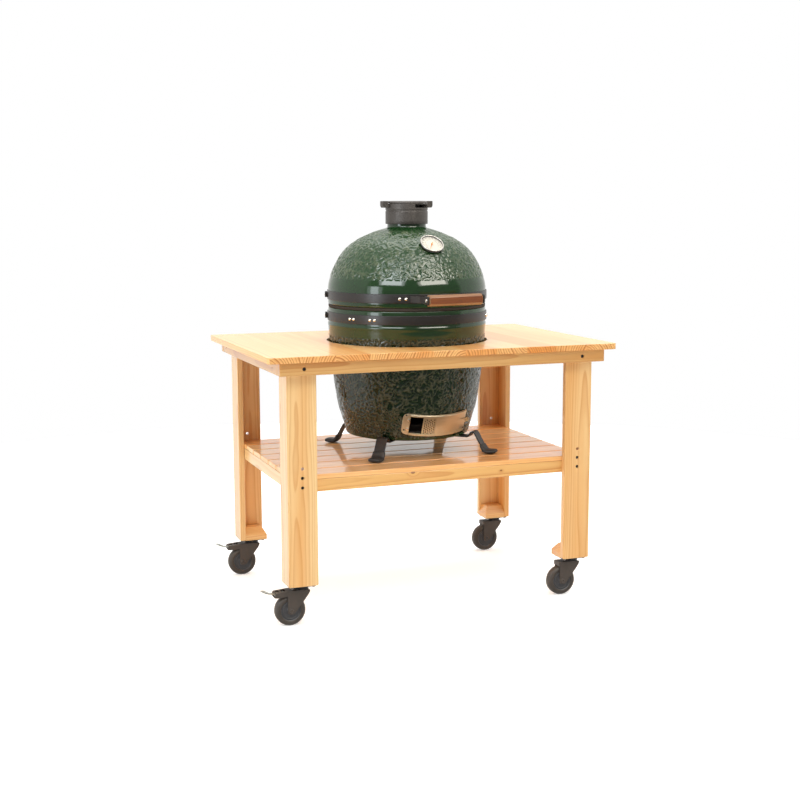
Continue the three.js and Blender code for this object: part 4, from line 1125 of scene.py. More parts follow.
p = Piece()
ringp = [(229 * math.sin(rad(a)), -229 * math.cos(rad(a)), 955) for a in np.linspace(0, 360, 121)]
p.add(*tube(ringp, 3.9, 12))
for i in range(-5, 6):
    for d in (-9.5, 9.5):
        x = i * 38 + d
        if abs(x) < 224:
            l = math.sqrt(229 * 229 - x * x)
            p.add(*tube([(x, -l, 956.2), (x, -l * 0.5, 956.2), (x, 0, 956.2), (x, l * 0.5, 956.2), (x, l, 956.2)], 2.4, 8))
for y in (-120, 0, 120):
    l = math.sqrt(229 * 229 - y * y)
    p.add(*tube([(-l, y, 952.6), (0, y, 952.6), (l, y, 952.6)], 2.6, 8))
p.build("cooking_grate_rods", GRILL, [STEEL], "table", "cooking_grate", "stainless", angle=60)

# ============================================================ bands
BI, BO = 272.3, 275.2


def polar(a, r, z):
    return (r * math.sin(rad(a)), -r * math.cos(rad(a)), z)


def band(p, a0, a1, z0, z1, ri=BI, ro=BO, crown=0.5, n=None):
    n = n or int((a1 - a0) / 2)
    sec = [(ri, z0 + 0.4), (ri + 0.5, z0), (ro - 0.6, z0), (ro, z0 + 0.8), (ro + crown * 0.7, z0 + 6), (ro + crown, (z0 + z1) / 2), (ro + crown * 0.7, z1 - 6), (ro, z1 - 0.8), (ro - 0.6, z1), (ri + 0.5, z1), (ri, z1 - 0.4)]
    p.add(*lathe(sec, n, a0, a1))


def dome_bolt(a, z, r, h, r0, mat=1, n=20, p=None):
    prof = [(0, h)] + [(r * math.sin(rad(t)), h * 0.18 + h * 0.82 * math.cos(rad(t))) for t in (15, 30, 45, 60, 75, 90)] + [(r, -1.2), (0, -1.2)]
    V, F = lathe(prof, n)
    V = np.array(along(V, "-y")) + [0, -r0, 0]
    V = turn(V, a, (0, 0, z))
    (p or piece_).add(V, F, mat)


def ear(p, a, z0, z1, bolt=True):
    """A band's end, bent outwards; its bolt argument is not used, the clamp screws are drawn as pieces of their own."""
    V, F = rounded_box((-1.5, -BO - 8.8, z0 + 6.5), (1.5, -BO + 1, z1 - 6.5), 0.7, 2)
    p.add(turn(V, a), F)


for nm, zz, body, node, pairs in [("lower_band_strap", (943, 973), "table", "lower_band", [50.9, 54.4, 68.0, 71.5]), ("upper_band_strap", (1014, 1044), "lid", "upper_band", [])]:
    p = Piece()
    band(p, -110, 110, *zz)
    ear(p, -109.5, *zz)
    ear(p, 109.5, *zz)
    for a in pairs:
        for s in (-1, 1):
            dome_bolt(s * a, sum(zz) / 2, 5.4, 4.6, BO + 0.3, p=p)
    p.build(nm, GRILL, [BLACK, BOLT], body, node, "black_steel", angle=32)

# clamp screws of the bands, each through both ears
for nm, zz, body in [("lower_clamp_screws", (943, 973), "table"), ("upper_clamp_screws", (1014, 1044), "lid")]:
    p = Piece()
    for s in (-1, 1):
        a = s * 115.2
        V, F = lathe([(0, -20), (2.4, -20), (2.4, 17), (0, 17)], 14)
        c = turn(np.array(along(V, "x")) + [0, -BO - 4.6, 0], a, (0, 0, sum(zz) / 2))
        p.add(c, F)
        for t in (-21, 15):
            V, F = lathe(fillet([(0, t), (4.9, t), (4.9, t + 4.5), (0, t + 4.5)], [0, 0.8, 0.8, 0], 2), 6)
            p.add(turn(np.array(along(V, "x")) + [0, -BO - 4.6, 0], a, (0, 0, sum(zz) / 2)), F)
    p.build(nm, GRILL, [BOLT], body, slot="stainless", angle=40)

# ============================================================ hinge
HR, HZ = 332.0, 992.0


def arm(p, x, pts):
    p.add(*flat_plate(fillet(pts, [2, 6, 9, 9, 9, 9, 8, 2], 4), [], "x", x - 2.4, x + 2.4, 60))


def knuckle(p, x0, x1):
    V, F = lathe(fillet([(5.3, x0), (11, x0), (11, x1), (5.3, x1)], [0.3, 1, 1, 0.3], 2), 32)
    p.add(np.array(along(V, "x")) * [-1, 1, 1] + [0, HR, HZ], F)


p = Piece()
band(p, 120, 240, 943, 973)
ear(p, 120.8, 943, 973)
ear(p, -120.8, 943, 973)
for x in (-92, 92):
    arm(p, x, [(258, 946), (300, 949), (344, 982), (344, 996), (336, 1002), (326, 1001), (300, 975), (258, 970)])
knuckle(p, -94.5, -80)
knuckle(p, 80, 94.5)
for a in (152, 164, 196, 208):
    dome_bolt(a, 958, 5.4, 4.6, BO + 0.3, p=p)
p.build("hinge_base_bracket_steel", GRILL, [BLACK, BOLT], "table", "hinge_base_bracket", "black_steel", angle=32)
p = Piece()
band(p, 120, 240, 1014, 1044)
ear(p, 120.8, 1014, 1044)
ear(p, -120.8, 1014, 1044)
for x in (-74, 74):
    arm(p, x, [(262, 1041), (300, 1036), (344, 1002), (344, 988), (336, 982), (326, 984), (302, 1016), (262, 1017)])
knuckle(p, -79, -66)
knuckle(p, 66, 79)
for a in (156, 168, 192, 204):
    dome_bolt(a, 1029, 5.4, 4.6, BO + 0.3, p=p)
p.build("hinge_lid_bracket_steel", GRILL, [BLACK, BOLT], "lid", "hinge_lid_bracket", "black_steel", angle=32)
p = Piece()
V, F = lathe([(0, -101), (5, -101), (5, 101), (0, 101)], 28)
p.add(np.array(along(V, "x")) + [0, HR, HZ], F)
for t in (-104, 98):
    V, F = lathe(fillet([(0, t), (8.5, t), (8.5, t + 6), (0, t + 6)], [0, 1, 1, 0], 2), 6)
    p.add(np.array(along(V, "x")) * [-1, 1, 1] + [0, HR, HZ], F)
p.build("hinge_pin_steel", GRILL, [BOLT], "table", "hinge_pin", "stainless", angle=40)
for nm, x0, x1 in (("hinge_spring_left", -62, -13), ("hinge_spring_right", 13, 62)):
    p = Piece()
    turns = 11
    path = [(x0 + (x1 - x0) * t / (turns * 20), HR + 8.9 * math.cos(2 * math.pi * t / 20), HZ + 8.9 * math.sin(2 * math.pi * t / 20)) for t in range(turns * 20 + 1)]
    p.add(*tube(path, 1.9, 8))
    p.build(nm + "_coil", GRILL, [STEEL], "table", nm, "stainless", angle=70)

# ============================================================ handle
GR, GL, GZ = 331.0, 102.5, 1028.0
for nm, s in (("handle_bracket_left", -1), ("handle_bracket_right", 1)):
    p = Piece()
    path = [polar(s * a, BO + 2.2, 0)[:2] for a in np.linspace(37.5, 25.5, 8)]
    gx = 106.2 if s < 0 else 102.7
    bend = fillet([path[-1], (s * 117.4, -257.8), (s * gx, -291), (s * gx, -345.5)], [0, 9, 14, 0], 7, closed=False)
    V, F = strip(path[:-1] + bend, 3.2, GZ - 10.5, GZ + 11, "z")
    p.add(V, F)
    V, F = rounded_box((min(s * (gx - 3), s * (gx + 1.2)), -345.3, GZ - 14), (max(s * (gx - 3), s * (gx + 1.2)), -320, GZ + 14.5), 0.9, 2)
    p.add(V, F)
    for a in (28.7, 33.0):
        dome_bolt(s * a, 1029, 5.6, 5.2, BO + 3.6, p=p)
    p.build(nm + "_strap", GRILL, [BLACK, BOLT], "lid", nm, "black_steel", bevel=0.5, angle=32)
for nm, s in (("grip_screw_left", -1), ("grip_screw_right", 1)):
    p = Piece()
    V, F = bolt_head(5.5, 3)
    p.add(np.array(along(V, "-x" if s < 0 else "x")) + [109.6 * s if s < 0 else 106.1, -332, GZ], F)
    p.build(nm, GRILL, [BOLT], "lid", slot="stainless", angle=30)

p = Piece()
c8 = 7.6
y0, y1, z0, z1 = -GR - 15, -GR + 15, GZ - 18.6, GZ + 17.2


def octagon(inset, x):
    a0, a1, b0, b1 = y0 + inset, y1 - inset, z0 + inset, z1 - inset
    c = c8 - inset * 0.4
    o = [(a0, b0 + c), (a0 + c, b0), (a1 - c, b0), (a1, b0 + c), (a1, b1 - c), (a1 - c, b1), (a0 + c, b1), (a0, b1 - c)]
    return [(x, u, v) for u, v in o]


rows = [octagon(4.2, -GL), octagon(0, -GL + 4.2), octagon(0, GL - 7.4), octagon(4.2, GL - 3.4)]
V = [q for r_ in rows for q in r_]
F, M_ = [list(range(8))[::-1], [24 + i for i in range(8)]], [0, 0]
for k in range(3):
    for i in range(8):
        F.append([8 * k + i, 8 * k + (i + 1) % 8, 8 * k + 8 + (i + 1) % 8, 8 * k + 8 + i])
        M_.append(1 if (i == 7 and k == 1) else 0)
G = np.c_[np.array(V)[:, 0], np.array(V)[:, 1] + 309, np.array(V)[:, 2] - 987]
p.add(V, F, M_, G, 0.4)
p.build("handle_grip_wood", GRILL, [GRIP, GRIP_DARK], "lid", "handle_grip", "grip_wood", bevel=0.9, seg=3, angle=20)

# ============================================================ thermometer
TH = Matrix.Rotation(rad(-3.4), 4, "Z") @ Matrix.Translation((0, -193.3, 1198.8)) @ Matrix.Rotation(rad(40), 4, "X") @ Matrix.Diagonal((0.9643, 0.9643, 1, 1))
p = Piece()
case = fillet([(0, 0.6), (30, 0.6), (41, 3.0), (42, 6.5), (42, 10.6), (40.6, 12.5), (38.4, 12.5), (37.6, 11.6), (37.6, 6.0), (0, 6.0)], [0, 3, 2.5, 2, 0.8, 0.9, 0.8, 0.4, 0.3, 0], 3)
V, F = lathe(case, 84)
# the case's outer side below the bezel takes the painted shade copy
side_ = [1 if np.mean([math.hypot(V[i][0], V[i][1]) for i in f]) > 34 and np.mean([V[i][2] for i in f]) < 10.4 else 0 for f in F]
p.add(apply(V, TH), F, side_)
V, F = lathe(fillet([(0, -95), (4, -92), (4, 1), (0, 1)], [0, 1, 0, 0], 2), 18)
p.add(apply(V, TH), F)
V, F = lathe(fillet([(5, -5), (13, -5), (13, 0.8), (5, 0.8)], [0, 1, 1, 0], 2), 6)
p.add(apply(V, TH), F)
p.build("thermometer_case_steel", GRILL, [BEZEL, CASE], "lid", "thermometer_case", "stainless", angle=32)
p = Piece()
V, F = lathe([(0, 6.2), (37.3, 6.2), (37.3, 6.9), (0, 6.9)], 72)
p.add(apply(V, TH), F)
for k in range(51):
    a = rad(-125 + 250 * k / 50)
    big = k % 5 == 0
    r0, r1, w = (28.5 if big else 31.5), 34.2, (0.55 if big else 0.3)
    c, s = math.sin(a), math.cos(a)
    q = [(r0 * c - w * s, r0 * s + w * c), (r1 * c - w * s, r1 * s + w * c), (r1 * c + w * s, r1 * s - w * c), (r0 * c + w * s, r0 * s - w * c)]
    V = [(x, y, z) for z in (6.8, 7.05) for x, y in q]
    F = [(3, 2, 1, 0), (4, 5, 6, 7), (0, 1, 5, 4), (1, 2, 6, 5), (2, 3, 7, 6), (3, 0, 4, 7)]
    p.add(apply(V, TH), F, 1)
V, F = lathe([(22.2, 6.8), (22.8, 6.8), (22.8, 7.05), (22.2, 7.05)], 60, -125 + 180, 125 + 180)
p.add(apply(V, TH), F, 1)
p.build("thermometer_dial", GRILL, [DIAL, INK], "lid", slot="dial_face", angle=30)
p = Piece()
nd = rad(148)
needle = [(-1.0, -11), (1.0, -11), (2.3, -2), (1.2, 8), (0.5, 27), (-0.5, 27), (-1.2, 8), (-2.3, -2)]
needle = [(x * math.cos(nd) - y * math.sin(nd), x * math.sin(nd) + y * math.cos(nd)) for x, y in needle]
V, F = flat_plate(needle, [], "z", 7.4, 8.0, 40)
p.add(apply(V, TH), F)
V, F = lathe(fillet([(0, 7.2), (3.4, 7.2), (3.4, 8.8), (0, 9.2)], [0, 0.2, 0.6, 0], 2), 24)
p.add(apply(V, TH), F)
p.build("thermometer_needle_arm", GRILL, [ORANGE], "gauge", "thermometer_needle", "needle_paint", angle=30)
p = Piece()
V, F = lathe(fillet([(0, 10.2), (37.4, 10.2), (37.4, 11.4), (0, 11.8)], [0, 0.2, 0.3, 0], 2), 72)
p.add(apply(V, TH), F)
p.build("thermometer_lens_glass", GRILL, [GLASS], "lid", "thermometer_lens", "dial_glass", angle=40)

# ============================================================ vent tower
WIN = (28.5, 208.5)
ang = sorted({round(a % 360, 3) for a in list(np.arange(0, 360, 4.0)) + [w + s for w in WIN for s in (-33, 33)]})
zs = [1268, 1269, 1280, 1295, 1310.6, 1311.8, 1315.0, 1316.4, 1323, 1334, 1336.4, 1337]


def collar_out(z):
    return float(np.interp(z, [1268, 1269, 1310.6, 1311.8, 1315.0, 1316.4, 1336.4, 1337], [71.9, 72.6, 72.6, 71.2, 71.2, 72.6, 72.6, 71.9]))


p = Piece()
p.add(*grid_wall(ang, zs, lambda z: 67.0 if z < 1295.1 else 60.2, collar_out, lambda a, b, z0, z1: z0 >= 1322.9 and z1 <= 1334.1 and any(abs((mid(a, b) - w + 180) % 360 - 180) < 33 for w in WIN)))
p.build("vent_collar_iron", GRILL, [IRON], "lid", "vent_collar", "cast_iron", bevel=0.7, seg=2, angle=40)
p = Piece()
ang = sorted({round(a % 360, 3) for a in list(np.arange(0, 360, 4.0)) + [w + s for w in WIN for s in (-27, 27)]})
p.add(*grid_wall(ang, [1300, 1311, 1323, 1334, 1338.5], lambda z: 54.2, lambda z: 58.8, lambda a, b, z0, z1: z0 >= 1322.9 and z1 <= 1334.1 and any(abs((mid(a, b) - w + 180) % 360 - 180) < 27 for w in WIN)))
p.add(*lathe(fillet([(0, 1338.1), (71.5, 1338.1), (71.5, 1341.6), (64.5, 1345.6), (52, 1345.9), (50.5, 1344.6), (0, 1344.8)], [0, 0.8, 1.6, 2, 0.6, 0.6, 0], 4), 96))
for s in (-1, 1):
    V, F = rounded_box((min(s * 62, s * 81), -6.5, 1338.4), (max(s * 62, s * 81), 6.5, 1345.0), 1.6, 3)
    p.add(V, F)
    prof = fillet([(75.6, 1345.6), (96.5, 1345.6), (96.5, 1330), (93.5, 1323), (78.6, 1323), (75.6, 1330)], [2.5, 2.5, 6, 5, 5, 6], 5)
    V, F = flat_plate([(s * u, v) for u, v in prof], [], "y", -10, 10, 60)
    p.add(V, F)
p.build("vent_cap_iron", GRILL, [IRON], "cap", "vent_cap", "cast_iron", bevel=1.4, seg=3, angle=35)

# ============================================================ draft door
# the frame is a straight strip bent round an axis that leans out with the bowl's
# side; lengths run along it from its middle, heights across it from -FH to FH
FH, BEND_R = 38.0, 240.0
LEANED = Matrix.Rotation(rad(1), 4, "Z") @ Matrix.Translation((0, -228.8, 601.5)) @ Matrix.Rotation(rad(18), 4, "X") @ Matrix.Translation((0, BEND_R, 0))
LM = np.array(LEANED)


def curved(o):
    """Maps a length and a height on the strip to its place, o mm out from it."""
    def f(s, h):
        a, q = s / BEND_R, BEND_R + o
        return tuple(LM[:3, :3] @ np.array((q * math.sin(a), -q * math.cos(a), h)) + LM[:3, 3])
    return f


def circle(s, h, r, n=14):
    return [(s + r * math.cos(rad(360 * t / n)), h + r * math.sin(rad(360 * t / n))) for t in range(n)]


def on_strip(V, s, o, h):
    """A shape drawn about +Z, standing out from the strip."""
    a = rad(math.degrees(s / BEND_R))
    V = turn(np.array(along(V, "-y")) + [0, -BEND_R - o, h], math.degrees(a))
    return V @ LM[:3, :3].T + LM[:3, 3]


frame_out = fillet([(-134, -FH), (116, -FH), (116, FH), (-134, FH)], [16, 9, 7, 16], 6)
opening = fillet([(-109, -31), (-18, -31), (-18, 28), (-109, 28)], 2, 3)
screws = [(-124, 31.5), (-125.5, -22.5), (105.5, 30.5), (110, -30.5)]
p = Piece()
p.add(*plate(frame_out, [opening] + [circle(s_, h_, 3.1) for s_, h_ in screws], curved(0.1), curved(1.5), 7.0, fill=(8, 14)))


def lip(h_in, h_out, s0, s1, n=44):
    """A rail bent from the frame: out from it, then back over the sliders."""
    d = 1 if h_out > h_in else -1
    sec = fillet([(1.0, h_in), (8.2, h_in), (8.2, h_out), (7.0, h_out), (7.0, h_in + d * 1.3), (1.0, h_in + d * 1.3)], [0, 2.0, 0.5, 0.5, 0.9, 0], 4)
    V, F, k = [], [], len(sec)
    for i in range(n + 1):
        for o, h in sec:
            V.append(curved(o)(s0 + (s1 - s0) * i / n, h))
    for i in range(n):
        for j in range(k):
            F.append([i * k + j, i * k + (j + 1) % k, (i + 1) * k + (j + 1) % k, (i + 1) * k + j])
    F += [list(range(k))[::-1], [n * k + j for j in range(k)]]
    return V, F


p.add(*lip(-FH + 0.4, -FH + 7.6, -108, 106))
p.add(*lip(FH - 0.4, FH - 6.4, -110, 106))
p.build("draft_frame_steel", GRILL, [BRASSY], "table", "draft_frame", "stainless", bevel=0.35, seg=2, angle=40)
p = Piece()
for s_, h_ in screws:
    V, F = lathe(fillet([(0, -0.6), (1.3, -0.6), (1.6, 0.5), (2.9, 0.2), (3.0, -3.0), (0, -3.0)], [0, 0.2, 0.3, 0.4, 0, 0], 2), 18)
    p.add(on_strip(V, s_, 1.5, h_), F, 0)
for s_, h_ in ((-115.0, 16.5), (-115.6, -17.0)):
    # a bright stop riveted beside each end of the opening
    V, F = rounded_box((-3.0, -4.6, 0), (3.0, 4.6, 4.6), 1.5, 3)
    p.add(on_strip(V, s_, 1.4, h_), F, 1)
p.build("draft_frame_screws", GRILL, [DARK_IRON, BOLT], "table", slot="stainless", angle=30)

p = Piece()
s0, s1 = -66.0, 44.0
holes = []
for ci, s_ in enumerate(np.arange(s0 + 7.5, s1 - 5, 6.6)):
    for h_ in np.arange(-30.5 + (4.3 if ci % 2 else 0), 17.5, 8.6):
        holes.append(fillet([(s_ - 1.6, h_), (s_ + 1.6, h_), (s_ + 1.6, h_ + 6.4), (s_ - 1.6, h_ + 6.4)], 1.5, 3))
p.add(*plate(fillet([(s0, -34), (s1, -34), (s1, 34), (s0, 34)], 2, 2), holes, curved(2.2), curved(3.1), 9.0))
V, F = plate(fillet([(s0, -8), (s0 + 5, -8), (s0 + 5, 8), (s0, 8)], 1, 2), [], curved(3.0), curved(3.7), 9.0)
p.add(V, F)
p.build("screen_door_sheet", GRILL, [BRASSY], "screen_slider", "screen_door", "stainless", angle=30)
p = Piece()
s0, s1 = -21.0, 82.0
out = [(s0, -34), (s1, -34), (s1, -10), (s1 + 39, -9), (s1 + 39, 7), (s1, 8), (s1, 34), (s0, 34)]
p.add(*plate(fillet(out, [2, 2, 2, 1, 1, 2, 2, 2], 3), [], curved(4.1), curved(5.2), 6.0, fill=(8, 14)))
tab = []
for s_, o in ((s1 + 37.8, 4.2), (s1 + 39, 4.2), (s1 + 39, 13.5), (s1 + 37.8, 13.5)):
    tab.append([curved(o)(s_, h_) for h_ in (-9, 7)])
V = [tab[i][k] for k in (0, 1) for i in range(4)]
p.add(V, [(3, 2, 1, 0), (4, 5, 6, 7), (0, 1, 5, 4), (1, 2, 6, 5), (2, 3, 7, 6), (3, 0, 4, 7)])
p.build("draft_door_sheet", GRILL, [BRASSY], "draft_slider", "draft_door", "stainless", bevel=0.3, angle=40)

# ============================================================ stand
p = Piece()
p.add(*lathe(fillet([(90, 542.6), (150, 542.6), (150, 547.6), (90, 547.6)], 1, 3), 96))
boots = Piece()
for a in (-45.2, 43.6, -133.4, 133.4):
    path = fillet([(62, 545.1), (223.5, 545.1), (234.5, 561.5), (245.5, 562.5), (277.5, 506.5), (285.5, 498.6), (313, 498.6)], [0, 8, 8, 7, 9, 9, 0], 6, closed=False)
    V, F = strip([(-u, v) for u, v in path], 5.0, -19, 19, "x")
    p.add(turn(np.array(V), a), F)
    secs = [(269.6, 520.6, -61, 4.3, 20.6), (270.6, 518.9, -61, 5.8, 22.0), (274.4, 512.2, -61, 6.4, 22.8), (278.4, 504.9, -54, 7.4, 23.2), (283.2, 499.4, -28, 8.2, 23.3),
            (291.0, 497.2, -2, 7.4, 23.2), (302.0, 497.6, 3, 7.3, 22.8), (312.5, 498.4, 8, 6.9, 21.8), (318.8, 499.2, 12, 5.6, 19.6), (321.6, 499.6, 14, 3.0, 16.6)]
    V, F, k = [], [], 20
    for r_, z_, d_, t_, w_ in secs:
        n_ = (-math.sin(rad(d_)), math.cos(rad(d_)))
        for i in range(k):
            t = 2 * math.pi * i / k
            c, s = math.cos(t), math.sin(t)
            u = math.copysign(abs(c) ** 0.5, c) * w_
            v = math.copysign(abs(s) ** 0.6, s) * t_
            rr, zz = r_ + n_[0] * v, max(489.3, z_ + n_[1] * v)
            V.append((u, -rr, zz))
    for i in range(len(secs) - 1):
        for j in range(k):
            F.append([i * k + j, i * k + (j + 1) % k, (i + 1) * k + (j + 1) % k, (i + 1) * k + j])
    F += [list(range(k))[::-1], [(len(secs) - 1) * k + j for j in range(k)]]
    boots.add(turn(np.array(V), a), F)
p.build("kamado_stand_steel", STAND, [SATIN], "table", "kamado_stand", "black_steel", bevel=0.8, angle=36)
o = boots.build("kamado_stand_boots", STAND, [RUBBER], "table", slot="boot_rubber", angle=60)
s_ = o.modifiers.new("round", "SUBSURF")
s_.levels = s_.render_levels = 1

# ============================================================ casters
WX, WR = -36.0, 50.0
for name, cx, cy, brake in [("front_left", -484, -319.5, True), ("front_right", 484, -319.5, False), ("back_left", -484, 319.5, True), ("back_right", 484, 319.5, False)]:
    M = place(0, 5 + cx, cy)
    # plate with pressed race and four screws
    p = Piece()
    oc = fillet([(-44, -37), (44, -37), (44, 37), (-44, 37)], 7, 5)
    slots = [fillet([(sx * 36 - 5, sy * 29 - 3.3), (sx * 36 + 5, sy * 29 - 3.3), (sx * 36 + 5, sy * 29 + 3.3), (sx * 36 - 5, sy * 29 + 3.3)], 3.2, 3) for sx in (-1, 1) for sy in (-1, 1)]
    p.add(*flat_plate(oc, slots, "z", 129.6, 132.2, 30))
    p.add(*lathe(fillet([(0, 119), (22.5, 119), (27, 122.5), (27, 125), (30, 128), (31, 131), (0, 131)], [0, 1.2, 2, 1, 1.5, 0.5, 0], 4), 64))
    p.build("caster_plate_%s_steel" % name, M, [GLOSS_BLACK], "table", "caster_plate_" + name, "black_steel", bevel=0.4, angle=38)
    p = Piece()
    for sx in (-1, 1):
        for sy in (-1, 1):
            V, F = bolt_head(5.6, 4)
            V = np.array(V) * [1, 1, -1] + [sx * 36, sy * 29, 126.6]
            p.add(V, F)
    p.build("caster_screws_%s" % name, M, [BOLT], "table", slot="stainless", angle=30)

    # fork: two cheeks, a crown folded between them, the rivet of the wheel
    p = Piece()
    u = lambda a, z: (WX + a, z)
    cheek = fillet([u(-11, 116), u(-11, 47), u(-8.5, 40), u(1, 37.6), u(11, 41.0), u(19, 50), u(40, 77), u(57, 99), u(63, 110), u(63, 116)], [1, 9, 8, 10, 10, 18, 22, 16, 6, 3.5], 6)
    for s in (-1, 1):
        p.add(*flat_plate(cheek, [], "y", s * 17.5 if s > 0 else -20, 20 if s > 0 else -17.5, 60))
    back = -12 if brake else -14
    nose = [(26.8 * math.cos(rad(t)), 26.1 * math.sin(rad(t))) for t in np.linspace(-49.6, 49.6, 15)]
    crown = [(WX + back, -20)] + [(x, max(-20, min(20, y))) for x, y in nose] + [(WX + back, 20)]
    p.add(*flat_plate(fillet(crown, 1.0, 2), [], "z", 113.6, 116.2, 30))
    p.add(*lathe(fillet([(0, 115), (19, 115), (19, 118.6), (0, 118.6)], [0, 0, 1, 0], 2), 48))
    for s in (-1, 1):
        V, F = lathe(fillet([(0, 0), (8.6, 0), (8.6, 0.9), (6.6, 1.4), (6.1, 3.3), (4.6, 3.4), (3.9, 1.7), (0, 1.7)], [0, 0.3, 0.5, 0.5, 0.6, 0.5, 0.5, 0], 3), 40)
        p.add(np.array(along(V, "-y" if s < 0 else "y")) + [WX, s * 19.9, WR], F, 0)
    V, F = lathe([(0, -19), (6.0, -19), (6.0, 19), (0, 19)], 28)
    p.add(np.array(along(V, "y")) + [WX, 0, WR], F)
    if not brake:
        p.add(*flat_plate(fillet([(-20, 101.6), (20, 101.6), (20, 115), (-20, 115)], [2, 2, 0.5, 0.5], 3), [], "x", WX - 13.9, WX - 11.5, 30))
    else:
        side = fillet([u(-10.9, 116), u(-49, 112.5), u(-53, 108), u(-53, 99.5), u(-47.5, 96.5), u(-30, 96.5), u(-10.9, 99)], [0, 3, 3, 3, 4, 8, 0], 4)
        for s in (-1, 1):
            p.add(*flat_plate(side, [], "y", 17.5 if s > 0 else -20, 20 if s > 0 else -17.5, 60))
        # the housing's top, folded down from the crown, with two windows over the pedal
        tilt = lambda d: (lambda x, y: (x, y, 116.0 + (x - WX + 11) * 0.0915 - d - 0.004 * max(0, abs(y) - 12) ** 2))
        lid_ = fillet([(WX - 50.5, -19.7), (WX - 11.5, -19.7), (WX - 11.5, 19.7), (WX - 50.5, 19.7)], [5, 1, 1, 5], 4)
        wins = [fillet([(WX - 47, -14.5), (WX - 34.5, -12), (WX - 34.5, 12), (WX - 47, 14.5)], 2.5, 4), fillet([(WX - 29, -12), (WX - 14.5, -12), (WX - 14.5, 12), (WX - 29, 12)], 2.5, 4)]
        p.add(*plate(lid_, wins, tilt(2.3), tilt(0.0), 8.0))
        p.add(*flat_plate(fillet([(-18.5, 96.6), (18.5, 96.6), (18.5, 99.4), (-18.5, 99.4)], 0.8, 2), [], "x", WX - 53, WX - 48, 30))
    p.build("caster_fork_%s_steel" % name, M, [FORK], "swivel_fork_" + name, "caster_fork_" + name, "black_steel", bevel=0.6, seg=2, angle=38)

    if brake:
        p = Piece()
        # pressed pedal: a narrow trough inside, a cupped leaf outside that turns up
        st = [(WX - 15, 109.2, 12.2, 1.2), (WX - 26, 109.0, 12.4, 1.3), (WX - 40, 108.6, 12.2, 1.3), (WX - 52, 108.2, 11.2, 1.3), (WX - 58, 108.0, 9.4, 1.2), (-99, 108.3, 8.8, 1.2),
              (-104, 109.0, 9.8, 1.8), (-110, 111.2, 11.8, 2.6), (-116, 113.8, 12.8, 2.9), (-122, 116.4, 11.8, 2.6), (-127, 118.4, 8.8, 1.9), (-130.5, 119.7, 5.0, 1.2), (-131.8, 120.3, 1.8, 0.5)]
        V, F, k = [], [], 14
        for x_, z_, w_, t_ in st:
            for i in range(k):
                t = 2 * math.pi * i / k
                yy = math.copysign(abs(math.cos(t)) ** 0.6, math.cos(t)) * w_
                cup = 2.3 * (abs(yy) / 12) ** 2.4 if x_ < -101 else -0.8 * (abs(yy) / 12) ** 3
                V.append((x_, yy, z_ + math.sin(t) * t_ + cup))
        for i in range(len(st) - 1):
            for j in range(k):
                F.append([i * k + j, i * k + (j + 1) % k, (i + 1) * k + (j + 1) % k, (i + 1) * k + j])
        F += [list(range(k))[::-1], [(len(st) - 1) * k + j for j in range(k)]]
        p.add(V, F)
        V, F = lathe([(0, -16.8), (2.8, -16.8), (2.8, 16.8), (0, 16.8)], 18)
        p.add(np.array(along(V, "y")) + [WX - 20, 0, 109.2], F)
        o = p.build("brake_pedal_%s_steel" % name, M, [ZINC], "pedal_" + name, "brake_pedal_" + name, "zinc_steel", angle=60)
        s_ = o.modifiers.new("round", "SUBSURF")
        s_.levels = s_.render_levels = 1

    # wheel: a tread with soft shoulders, a sunk disc with two raised rings, hub
    p = Piece()
    half = [(6.4, 17.0), (12.4, 17.0), (14.0, 13.2), (25.5, 12.6), (26.4, 13.6), (27.8, 13.6), (28.7, 12.6), (31.5, 12.6), (33.0, 14.6), (35.2, 15.9), (41.5, 15.9), (46.5, 13.6), (WR, 8.5)]
    prof = fillet([(r_, -w_) for r_, w_ in half] + [(r_, w_) for r_, w_ in half[::-1]],
                  ([0.4, 1.2, 2, 0.5, 0.4, 0.4, 0.5, 1, 1.0, 1.0, 3, 3, 4]) + ([0.4, 1.2, 2, 0.5, 0.4, 0.4, 0.5, 1, 1.0, 1.0, 3, 3, 4])[::-1], 4)
    V, F = lathe(prof, 96)
    V = np.array(along(V, "y"))
    rr = np.hypot(V[:, 0], V[:, 2])
    mats = [1 if np.mean([rr[i] for i in f]) > 32.6 else 0 for f in F]
    p.add(V + [WX, 0, WR], F, mats)
    p.build("wheel_%s_cast" % name, M, [POLY, TREAD], "roller_" + name, "wheel_" + name, "wheel_polymer", angle=50)

# ============================================================ studio
sc = bpy.context.scene
sc.view_settings.view_transform = "Standard"
sc.view_settings.look = "None"

# floor: a plain pale disc
p_me = bpy.data.meshes.new("floor")
bm = bmesh.new()
bmesh.ops.create_circle(bm, cap_ends=True, segments=96, radius=3.6)
bm.to_mesh(p_me)
bm.free()
floor = bpy.data.objects.new("floor", p_me)
sc.collection.objects.link(floor)
n = Nodes("floor")
n.set(Base_Color=(0.86, 0.85, 0.84, 1), Roughness=0.9, Specular_IOR_Level=0.1, Emission_Color=(1, 0.985, 0.965, 1), Emission_Strength=0.42)
p_me.materials.append(n.mat)
floor.visible_glossy = False     # a matt paper sweep: the glaze mirrors the dim room instead

world = bpy.data.worlds.new("studio")
sc.world = world
world.use_nodes = True
t = world.node_tree
t.nodes.clear()


def wn(kind, **props):
    x = t.nodes.new("ShaderNode" + kind)
    for k, v in props.items():
        setattr(x, k, v)
    return x


def wl(a, b):
    t.links.new(a, b)


tc = wn("TexCoord")
sep = wn("SeparateXYZ")
wl(tc.outputs["Generated"], sep.inputs[0])
